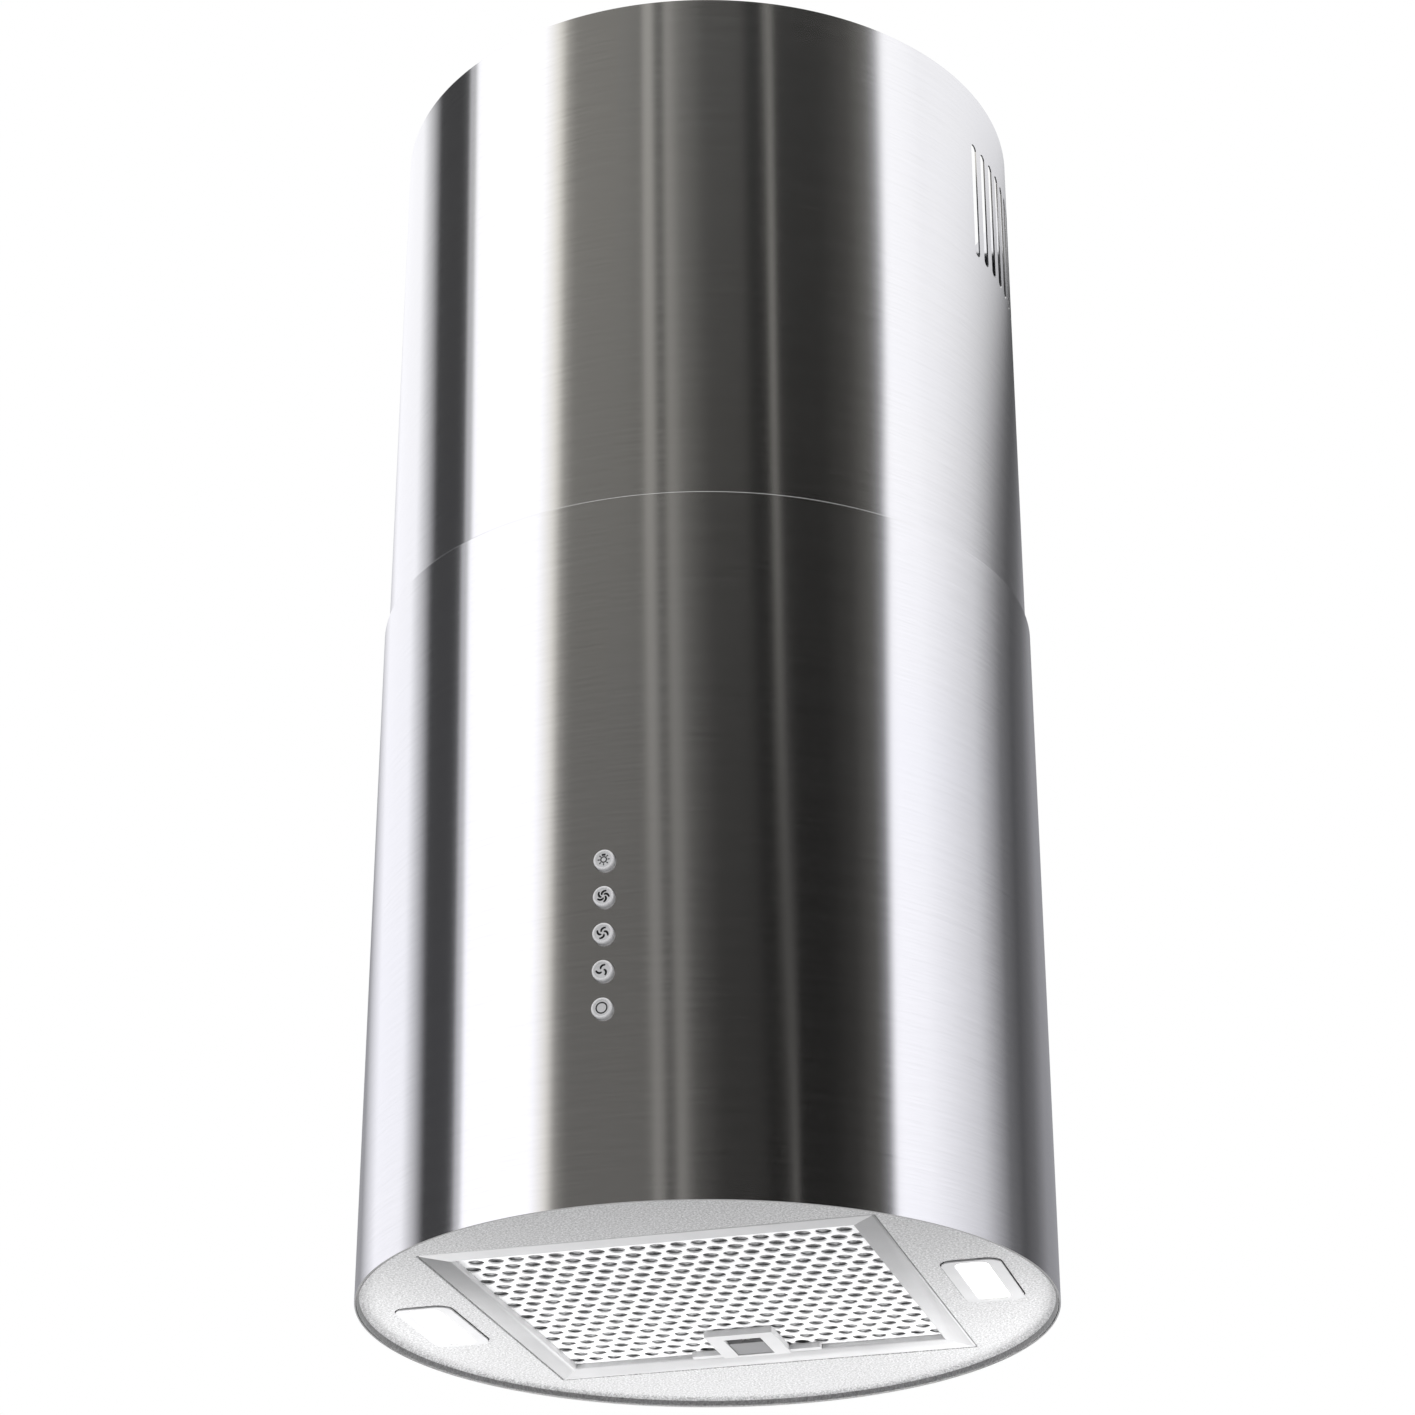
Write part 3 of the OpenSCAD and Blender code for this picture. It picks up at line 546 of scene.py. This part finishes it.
# The lip's inner wall and the lower part of its fillet take the darker lacquer: painted shade on
# the recess's shadowed inner face.
pan.data.materials.append(LIP_PAINTED_SHADE)
for poly in pan.data.polygons:
    out = math.hypot(poly.center.x, poly.center.y)
    if out < (PAN_R - 0.4) * MM and poly.center.z < height(LIP_SHADE_TOP):
        poly.material_index = 1
bm = bmesh.new()
outer = rounded_rect(2 * (OPEN_X + FLANGE_T), 2 * (OPEN_Y + FLANGE_T), 2.2, 4)
inner = rounded_rect(2 * OPEN_X - 2, 2 * OPEN_Y - 2, 0.2, 4)
frame_ring(bm, [(outer, PANEL_H + 0.4), (outer, FLANGE_TOP)],
           [(inner, FLANGE_TOP), (inner, PANEL_H + 0.4)])
join_solid(pan, new_object("opening_flange", bm, MATERIALS["silver_paint"]))
EDGE_FLARE = 0.22
bm = bmesh.new()
loft(bm, [(rounded_rect(2 * (OPEN_X + g), 2 * (OPEN_Y + g), 1.0 + g, 4), h)
          for g, h in ((EDGE_FLARE, PANEL_H - 0.2), (EDGE_FLARE, PANEL_H),
                       (0.06, PANEL_H + 0.08), (0.0, PANEL_H + 0.25), (0.0, CUT_TOP))])
for s in (-1, 1):
    loft(bm, [(rounded_rect(LAMP_W + 2 * g, LAMP_D + 2 * g, LAMP_ROUND + g, 7, s * LAMP_X), h)
              for g, h in ((0.35, PANEL_H - 0.2), (0.35, PANEL_H), (0.08, PANEL_H + 0.12),
                           (0.0, PANEL_H + 0.45), (0.0, 8.0))])
cut(pan, new_object("opening_cutter", bm, MATERIALS["silver_paint"]))
bm = bmesh.new()
for s in (-1, 1):
    block(bm, s * TAB_X - 7, s * TAB_X + 7, -OPEN_Y - 3, -OPEN_Y + 1, PANEL_TOP + 0.2, CUT_TOP)
block(bm, -20.4, 20.4, OPEN_Y - 1, OPEN_Y + 8.8, PANEL_TOP + 0.2, CUT_TOP)
cut(pan, new_object("notch_cutter", bm, MATERIALS["silver_paint"]))
place(pan, "hood_body", "silver_paint", "base_pan")

# A black gasket ring above the edge of each lamp opening. Its black also stands in for the shadow
# in the gap round the lamp, as painted shade.
for s, side in ((-1, "left"), (1, "right")):
    bm = bmesh.new()
    outer = rounded_rect(32.4, 70.2, 8.0, 7, s * LAMP_X)
    inner = rounded_rect(26.9, 65.5, 5.9, 7, s * LAMP_X)
    frame_ring(bm, [(outer, PANEL_TOP + 0.02), (outer, PANEL_TOP + 1.0)],
               [(inner, PANEL_TOP + 1.0), (inner, PANEL_TOP + 0.02)])
    place(new_object("lamp_shadow_gasket_" + side, bm, MATERIALS["black_plastic"]),
          "hood_body", "black_plastic")


# ---------------------------------------------------------------- grease filter

FILTER_X, FILTER_Y = 112.0, 111.5
WIN_X, WIN_Y0, WIN_Y1 = 99.5, -99.0, 94.5


def corner_loop(bm, place_x, place_y0, place_y1, h):
    """Four corners of the bar's frame at one height."""
    return [bm.verts.new((x * MM, y * MM, height(h))) for x, y in (
        (-place_x, place_y0), (place_x, place_y0), (place_x, place_y1), (-place_x, place_y1))]


def from_window(d):
    return WIN_X + d, WIN_Y0 - d, WIN_Y1 + d


def from_outside(d):
    return FILTER_X - d, -FILTER_Y + d, FILTER_Y - d


# Section of the folded bar: (measured from, distance, height), round the section once.
ROUND_OUT, ROUND_IN = 0.7, 0.9
MITRE_HALF = 0.11
section = [(from_window, ROUND_IN - x, h) for x, h in
           arc(0, PANEL_H + ROUND_IN, ROUND_IN, 0, -90, 4)]
section += [(from_outside, ROUND_OUT - x, h) for x, h in
            arc(0, PANEL_H + ROUND_OUT, ROUND_OUT, -90, 0, 5)]
section += [(from_outside, 0.0, 13.8), (from_outside, 0.3, 14.5), (from_outside, 1.0, 14.8),
            (from_window, 0.0, 14.8), (from_window, 0.0, 13.7), (from_window, 2.9, 13.7),
            (from_window, 2.9, 7.7), (from_window, 0.0, 7.7)]
bm = bmesh.new()
wrap_chain(bm, [corner_loop(bm, *where(d), h) for where, d, h in section])
bar = new_object("filter_bar", bm, MATERIALS["filter_metal"], 30.0)
bm = bmesh.new()
for s in (-1, 1):
    block(bm, s * TAB_X - 5, s * TAB_X + 5, -FILTER_Y - 7.5, -FILTER_Y + 1.2, 8.0, 9.4, 0.5)
join_solid(bar, new_object("hook_tabs", bm, MATERIALS["filter_metal"]))
bm = bmesh.new()
for s in (-1, 1):
    block(bm, s * PRONG_X - 2.3, s * PRONG_X + 2.3, WIN_Y1 - 1, FILTER_Y + 1, 6.1, 7.5)
for sx in (-1, 1):
    for wy, fy in ((WIN_Y0, -FILTER_Y), (WIN_Y1, FILTER_Y)):
        along = Vector((sx * FILTER_X, fy)) - Vector((sx * WIN_X, wy))
        across = Vector((-along.y, along.x)).normalized() * MITRE_HALF
        start = Vector((sx * WIN_X, wy)) - along * 0.1
        end = Vector((sx * FILTER_X, fy)) + along * 0.1
        strip = [tuple(start + across), tuple(start - across), tuple(end - across),
                 tuple(end + across)]
        loft(bm, [(strip, 4.0), (strip, 5.15)])
cut(bar, new_object("bar_cutter", bm, MATERIALS["filter_metal"]))
place(bar, "grease_filter", "filter_metal", "filter_frame")

HOLE_ROWS, HOLE_COLS, PITCH_MM, HOLE_R = 19, 20, 10.2, 4.0
SHEET_H, SHEET_T = 7.8, 0.8
FIRST_ROW = WIN_Y0 + 3.7
HALF = PITCH_MM / 2


class Sheet:
    """Perforated sheet built cell by cell; neighbouring cells share their border points."""

    def __init__(self):
        self.bm = bmesh.new()
        self.known = {}

    def vert(self, x, y, h):
        key = (round(x * 50), round(y * 50), round(h * 50))
        if key not in self.known:
            self.known[key] = self.bm.verts.new((x * MM, y * MM, height(h)))
        return self.known[key]

    def plate(self, points):
        """One flat patch on both faces of the sheet."""
        for h, order in ((SHEET_H, -1), (SHEET_H + SHEET_T, 1)):
            self.bm.faces.new([self.vert(x, y, h) for x, y in points][::order])

    def cell(self, cx, cy):
        """Square cell with one hole, whose lower edge is rolled."""
        border = [(cx + HALF * a, cy + HALF * b) for a, b in (
            (1, 0), (1, 1), (0, 1), (-1, 1), (-1, 0), (-1, -1), (0, -1), (1, -1))]
        rolls = []
        for grow, up in ((0.42, 0.0), (0.13, 0.09), (0.0, 0.3), (0.0, SHEET_T)):
            rolls.append([self.bm.verts.new(((cx + x) * MM, (cy + y) * MM, height(SHEET_H + up)))
                          for x, y in circle_points(HOLE_R + grow, 24)])
        for level, ring in ((SHEET_H, rolls[0]), (SHEET_H + SHEET_T, rolls[-1])):
            for j in range(8):
                ends = [self.vert(*border[j], level), self.vert(*border[(j + 1) % 8], level)]
                self.bm.faces.new(ends + [ring[(3 * j + i) % 24] for i in (3, 2, 1, 0)])
        for low, high in zip(rolls, rolls[1:]):
            wrap(self.bm, low, high)

    def close_edges(self):
        """Walls between the two faces along the outside of the sheet."""
        for edge in [e for e in self.bm.edges if e.is_boundary]:
            low = [v for v in edge.verts if v.co.z < height(SHEET_H) + 1e-5]
            if len(low) == 2:
                high = [self.vert(v.co.x / MM, v.co.y / MM, SHEET_H + SHEET_T) for v in low]
                self.bm.faces.new((low[0], low[1], high[1], high[0]))


sheet = Sheet()
side_x = HOLE_COLS * HALF
for row in range(HOLE_ROWS):
    cols = HOLE_COLS - row % 2
    cy = FIRST_ROW + row * PITCH_MM
    for col in range(cols):
        sheet.cell((col - (cols - 1) / 2) * PITCH_MM, cy)
    if cols < HOLE_COLS:
        for s in (-1, 1):
            near, far = s * (side_x - HALF), s * side_x
            patch = [(near, cy - HALF), (far, cy - HALF), (far, cy + HALF), (near, cy + HALF),
                     (near, cy)]
            sheet.plate(patch if s > 0 else patch[::-1])
y_first, y_last = FIRST_ROW - HALF, FIRST_ROW + (HOLE_ROWS - 0.5) * PITCH_MM
for y_from, y_to in ((y_first, WIN_Y0 - 2.7), (y_last, WIN_Y1 + 2.7)):
    for k in range(2 * HOLE_COLS):
        x0, x1 = -side_x + k * HALF, -side_x + (k + 1) * HALF
        sheet.plate([(x0, y_from), (x1, y_from), (x1, y_to), (x0, y_to)])
sheet.close_edges()
place(new_object("filter_sheet", sheet.bm, SHEET_WHITE, 50.0),
      "grease_filter", "filter_metal", "filter_front_sheet")

# Layered mesh pad: a wavy closed slab behind the holes.
PAD_STEP = 1.7
PAD_PAST = 2.5
PAD_H, PAD_WAVE, PAD_T = 8.8, 0.75, 2.7
pad_w, pad_d = 2 * (WIN_X + PAD_PAST), WIN_Y1 - WIN_Y0 + 2 * PAD_PAST
nx, ny = round(pad_w / PAD_STEP), round(pad_d / PAD_STEP)
bm = bmesh.new()
faces = []
for side in (0, 1):
    grid = []
    for j in range(ny + 1):
        y = WIN_Y0 - PAD_PAST + j * pad_d / ny
        line = []
        for i in range(nx + 1):
            x = -WIN_X - PAD_PAST + i * pad_w / nx
            wave = 0.5 + 0.5 * math.sin(x * 0.83 + 0.9 * math.sin(y * 0.21))
            h = PAD_H + PAD_WAVE * wave + side * PAD_T
            line.append(bm.verts.new((x * MM, y * MM, height(h))))
        grid.append(line)
    faces.append(grid)
    for j in range(ny):
        for i in range(nx):
            bm.faces.new((grid[j][i], grid[j][i + 1], grid[j + 1][i + 1], grid[j + 1][i]))
low, high = faces
rim = ([(0, i) for i in range(nx)] + [(j, nx) for j in range(ny)]
       + [(ny, i) for i in range(nx, 0, -1)] + [(j, 0) for j in range(ny, 0, -1)])
for (j0, i0), (j1, i1) in zip(rim, rim[1:] + rim[:1]):
    bm.faces.new((low[j0][i0], low[j1][i1], high[j1][i1], high[j0][i0]))
place(new_object("mesh_pad", bm, MATERIALS["mesh"], 60.0), "grease_filter", "mesh", "filter_mesh")


# ---------------------------------------------------------------- buttons

CAP_R = 5.1
FACE_R = 4.05


def facing(points_rh, node):
    """Turned piece on the button's own axis: (radius, depth behind the cap's front) in mm."""
    lo, hi = span(node)
    cz = (lo.z + hi.z) / 2
    bm = bmesh.new()
    lathe(bm, [(r * MM, d * MM) for r, d in points_rh], 64)
    bmesh.ops.transform(bm, matrix=Matrix.Translation((0, lo.y, cz))
                        @ Matrix.Rotation(-math.pi / 2, 4, "X"), verts=bm.verts)
    return bm


def blade_outline(turn):
    """One curved fan blade, thick in the middle, as an outline in millimetres."""
    spine = []
    for i in range(9):
        t = i / 8
        radius = 0.8 + 2.25 * t
        bend = math.radians(turn - 76 * t ** 1.3)
        spine.append(Vector((radius * math.cos(bend), radius * math.sin(bend))))
    left, right = [], []
    for i, point in enumerate(spine):
        ahead = (spine[min(i + 1, 8)] - spine[max(i - 1, 0)]).normalized()
        half = 0.2 + 0.34 * math.sin(math.pi * (0.1 + 0.72 * i / 8))
        side = Vector((-ahead.y, ahead.x)) * half
        left.append(tuple(point + side))
        right.append(tuple(point - side))
    return left + right[::-1]


def inlay(bm, outline, front, cz, lift=0.045, sink=0.1):
    """Thin closed plate on a cap's face from an outline in millimetres."""
    prism(bm, [(u * MM, v * MM) for u, v in outline],
          lambda u, v, w: (u, front + sink * MM - w, cz + v),
          (lift + sink) * MM)


def inlay_ring(bm, r_out, r_in, front, cz, lift=0.045, sink=0.1):
    """Thin closed ring on a cap's face."""
    wrap_chain(bm, [[bm.verts.new((u * MM, y, cz + v * MM)) for u, v in circle_points(r, 48)]
                    for r, y in ((r_out, front + sink * MM), (r_out, front - lift * MM),
                                 (r_in, front - lift * MM), (r_in, front + sink * MM))])


BLADES = {"button_low": 3, "button_medium": 4, "button_high": 5}
for name in BUTTONS:
    lo, hi = span(name)
    depth = (hi.y - lo.y) / MM
    cz = (lo.z + hi.z) / 2
    profile = ([(0.02, 0.38), (FACE_R - 0.25, 0.38), (FACE_R, 0.3), (FACE_R + 0.06, 0.1)]
               + arc(FACE_R + 0.16, 0.1, 0.1, 180, 270, 3)
               + arc(CAP_R - 0.55, 0.55, 0.55, -90, 0, 6)
               + [(CAP_R, 4.1), (3.6, 4.1), (3.6, depth - 6.2), (5.0, depth - 6.2),
                  (5.0, depth - 5.1), (3.6, depth - 5.1), (3.6, depth), (0.02, depth)])
    cap = new_object(name + "_cap", facing(profile, name), MATERIALS["button_cap"], 30.0)
    cap.data.materials.append(BUTTON_FACE)
    for poly in cap.data.polygons:
        r = math.hypot(poly.center.x, poly.center.z - cz)
        if r < (FACE_R - 0.1) * MM and poly.center.y < lo.y + 0.6 * MM:
            poly.material_index = 1
    place(cap, name + "_body", "button_cap", name)

    bm = bmesh.new()
    front = lo.y + 0.38 * MM
    if name in BLADES:
        for k in range(BLADES[name]):
            inlay(bm, blade_outline(134 + 360 * k / BLADES[name]), front, cz)
    elif name == "button_off":
        inlay_ring(bm, 2.95, 2.3, front, cz)
    else:
        inlay_ring(bm, 1.7, 1.12, front, cz)
        for k in range(8):
            a = math.tau * (k + 2) / 8
            out, side = Vector((math.cos(a), math.sin(a))), Vector((-math.sin(a), math.cos(a)))
            wide = 0.95 if k == 0 else 0.27
            inlay(bm, [tuple(out * 1.95 - side * wide), tuple(out * 3.0 - side * wide),
                       tuple(out * 3.0 + side * wide), tuple(out * 1.95 + side * wide)],
                  front, cz)
    sign = new_object(name + "_sign", bm, INK)
    place(sign, name + "_body", "black_plastic")


# ---------------------------------------------------------------- softened CAD edges

SOFT_EDGES = {
    "latch_body": 0.35, "latch_slider": 0.25, "lamp_housing_left": 0.3,
    "lamp_housing_right": 0.3, "latch_strike": 0.2, "junction_box": 0.6, "junction_cover": 0.5,
    "led_driver": 0.9, "switch_box": 0.5, "motor_bracket": 0.3, "cable_gland": 0.4,
    "outlet_collar": 0.3, "ceiling_plate": 0.3, "blower_plate": 0.3, "tube_screws": 0.4,
}
for node, width in SOFT_EDGES.items():
    obj = NODES[node]
    weld = obj.modifiers.new("weld", "WELD")
    weld.merge_threshold = 0.01 * MM
    bevel = obj.modifiers.new("soft_edges", "BEVEL")
    bevel.width, bevel.segments = width * MM, 2
    bevel.limit_method, bevel.angle_limit = "ANGLE", math.radians(50)
    bevel.harden_normals = True


# ---------------------------------------------------------------- floor, light and camera

FLOOR_Z = -2.33
FLOOR_HALF = 14.0
bm = bmesh.new()
bmesh.ops.create_grid(bm, x_segments=2, y_segments=2, size=FLOOR_HALF)
bmesh.ops.translate(bm, verts=bm.verts, vec=(0, 0, FLOOR_Z))
new_object("floor", bm, moulded("pale_floor", (0.6, 0.6, 0.595), (0.64, 0.64, 0.635),
                                         0.6, 40.0, 0.02))

# Camera: turned by YAW to the hood's right, below the lower edge, looking up by PITCH.
YAW = math.radians(16.2)
PITCH = 0.46386
CAM_DISTANCE = 1.6922
CAM_BELOW_EDGE = 0.5101
LENS = 89.14

cam_data = bpy.data.cameras.new("camera")
cam_data.lens, cam_data.sensor_width = LENS, 36.0
camera = bpy.data.objects.new("camera", cam_data)
bpy.context.collection.objects.link(camera)
camera.location = (CAM_DISTANCE * math.sin(YAW), -CAM_DISTANCE * math.cos(YAW),
                   EDGE_Z - CAM_BELOW_EDGE)
looking = Vector((-math.sin(YAW) * math.cos(PITCH), math.cos(YAW) * math.cos(PITCH),
                  math.sin(PITCH)))
camera.rotation_mode = "QUATERNION"
camera.rotation_quaternion = looking.to_track_quat("-Z", "Y")
bpy.context.scene.camera = camera
bpy.context.scene.view_settings.view_transform = "Standard"


# Studio wall tones by the angle from the front, degrees to the right of the camera side.
LEFT_WALL = [(-180, 0.35), (-156, 1.1), (-131, 1.1), (-121, 0.5), (-115, 0.06), (-101, 0.06),
             (-97.5, 0.11), (-96.5, 0.6), (-94, 0.5), (-92.5, 1.3), (-62, 1.3), (-56, 0.85),
             (-52.5, 0.32), (-49, 0.21), (-30, 0.19), (-23.4, 0.16), (-22.8, 0.38), (-19.4, 0.35),
             (-18.8, 0.1), (-15.6, 0.1), (-14.8, 0.32), (-13, 0.26), (-10, 0.15), (-4, 0.1),
             (0, 0.065)]
RIGHT_WALL = [(0, 0.065), (13, 0.058), (15, 0.02), (21.3, 0.008), (21.8, 0.3), (23.3, 0.3),
              (23.9, 0.022), (40, 0.025), (50, 0.055), (58, 0.13), (62, 0.3), (65, 1.2),
              (78, 1.12), (88, 0.96), (104, 0.7), (113, 0.4), (121, 0.17), (131, 0.09),
              (142, 0.15), (155, 0.3), (180, 0.35)]
LOW_SHADE_LEFT = [(0, 0.45), (8, 0.55), (13, 0.85), (17, 0.7), (48, 0.62), (55, 1.0)]
LOW_SHADE_RIGHT = [(0, 0.45), (50, 0.5), (58, 0.6), (66, 1.0)]
LEFT_LEVEL, RIGHT_LEVEL = 0.485, 0.43
MIDDLE_LEAN, MIDDLE_LEVEL = 0.138, 0.553
WALL_GAIN = 1.3
CEILING_TONE, GROUND_TONE = (0.75, 0.75, 0.75, 1), (0.12, 0.12, 0.12, 1)
COOL = (0.985, 0.985, 1.02)
WARM = (1.03, 1.0, 0.93)


def studio_world():
    """Round studio: bright and dark upright panels, pale floor light, plain pale backdrop."""
    world = bpy.data.worlds.new("studio")
    bpy.context.scene.world = world
    world.use_nodes = True
    tree = world.node_tree
    tree.nodes.clear()

    def add(kind, links=None, **props):
        return add_node(tree, kind, links, **props)

    def calc(op, a, b=0.0):
        return add("ShaderNodeMath", {0: a, 1: b}, operation=op).outputs[0]

    direction = add("ShaderNodeTexCoord").outputs["Generated"]
    turned = add("ShaderNodeVectorRotate", {"Vector": direction, "Angle": -YAW},
                 rotation_type="Z_AXIS").outputs[0]
    xyz = add("ShaderNodeSeparateXYZ", {0: turned}).outputs
    angle = calc("ARCTAN2", xyz[0], calc("MULTIPLY", xyz[1], -1.0))
    plain_share = calc("DIVIDE", angle, math.pi)

    def wall(value, stops, gain):
        ramp = add("ShaderNodeValToRGB", {0: value})
        fill_ramp(ramp.color_ramp, [(abs(a) / 180.0, tuple(
            t * c / gain for c in (WARM if abs(a) < 62 and gain > 1 else COOL)))
            for a, t in stops])
        return ramp.outputs[0]

    def clamped(value, low, high):
        return add("ShaderNodeClamp", {0: value, 1: low, 2: high}).outputs[0]

    def fade(value, start, end, tone_start=0.0, tone_end=1.0):
        return add("ShaderNodeMapRange", {0: value, 1: start, 2: end, 3: tone_start,
                                          4: tone_end}).outputs[0]

    def blend(share, one, other, kind="MIX"):
        return add("ShaderNodeMix", {0: share, 6: one, 7: other}, data_type="RGBA",
                   blend_type=kind).outputs[2]

    # The panels lean: their edges lie further round the higher the reflection looks.
    middle = fade(calc("ABSOLUTE", plain_share), 0.16, 0.27, MIDDLE_LEAN, 0.0)
    below = calc("SUBTRACT", xyz[2], MIDDLE_LEVEL)
    share = calc("ADD", plain_share, calc("MULTIPLY", middle, clamped(below, -0.25, 0.1)))
    left_share = calc("MULTIPLY", share, -1.0)
    lean = clamped(calc("SUBTRACT", xyz[2], LEFT_LEVEL), -0.2, 0.2)
    left_at = calc("SUBTRACT", left_share, calc("MULTIPLY", lean, calc("POWER", left_share, 2.0)))
    rise = clamped(calc("SUBTRACT", xyz[2], RIGHT_LEVEL), -0.2, 0.2)
    above = calc("MAXIMUM", rise, 0.0)
    turn = calc("ADD", calc("MULTIPLY", rise, 0.55),
                calc("MULTIPLY", calc("MULTIPLY", above, above), 16.6))
    right_at = calc("SUBTRACT", share, calc("MULTIPLY", turn, calc("POWER", share, 2.0)))
    right_at = calc("MAXIMUM", right_at, calc("MINIMUM", calc("MULTIPLY", share, 0.93), 0.45))
    on_right = calc("GREATER_THAN", share, 0.0)
    walls = blend(on_right, wall(left_at, LEFT_WALL[::-1], WALL_GAIN),
                  wall(right_at, RIGHT_WALL, WALL_GAIN))
    shade = blend(on_right, wall(left_at, LOW_SHADE_LEFT, 1.0),
                  wall(right_at, LOW_SHADE_RIGHT, 1.0))
    walls = blend(fade(xyz[2], 0.55, 0.41), walls, shade, "MULTIPLY")
    with_ceiling = blend(fade(xyz[2], 0.72, 0.86), walls, CEILING_TONE)
    around = blend(fade(xyz[2], -0.02, -0.12), with_ceiling, GROUND_TONE)
    studio = add("ShaderNodeBackground", {0: around, 1: WALL_GAIN})
    plain = add("ShaderNodeBackground", {0: (1.0, 1.0, 1.0, 1.0), 1: 1.0})
    seen = add("ShaderNodeLightPath").outputs["Is Camera Ray"]
    mixed = add("ShaderNodeMixShader", {0: seen, 1: studio.outputs[0], 2: plain.outputs[0]})
    add("ShaderNodeOutputWorld", {0: mixed.outputs[0]})


studio_world()


def area_light(name, place_at, target, size, watts):
    """Square light that the camera and mirror-like reflections don't see."""
    data = bpy.data.lights.new(name, "AREA")
    data.size, data.energy = size, watts
    obj = bpy.data.objects.new(name, data)
    bpy.context.collection.objects.link(obj)
    obj.location = place_at
    obj.rotation_mode = "QUATERNION"
    obj.rotation_quaternion = (target - place_at).to_track_quat("-Z", "Y")
    obj.visible_camera = False
    obj.visible_glossy = False


def seen_from_camera(right, back, up):
    """Point measured from the middle of the lower edge, in the camera's directions."""
    return (Vector((math.cos(YAW), math.sin(YAW), 0)) * right
            + Vector((-math.sin(YAW), math.cos(YAW), 0)) * back + Vector((0, 0, EDGE_Z + up)))


area_light("under_fill", seen_from_camera(0, 0.3, -0.24), seen_from_camera(0, 0.2, 0), 0.25, 1.3)
for turn, side_name in ((-1, "left"), (1, "right")):
    area_light("under_" + side_name, seen_from_camera(0.28 * turn, 0.07, -0.12),
               seen_from_camera(0.15 * turn, 0.03, 0), 0.16, 0.85)
area_light("front_fill", seen_from_camera(0, -1.1, 0.45), seen_from_camera(0, 0, 0.15), 0.4, 4.0)
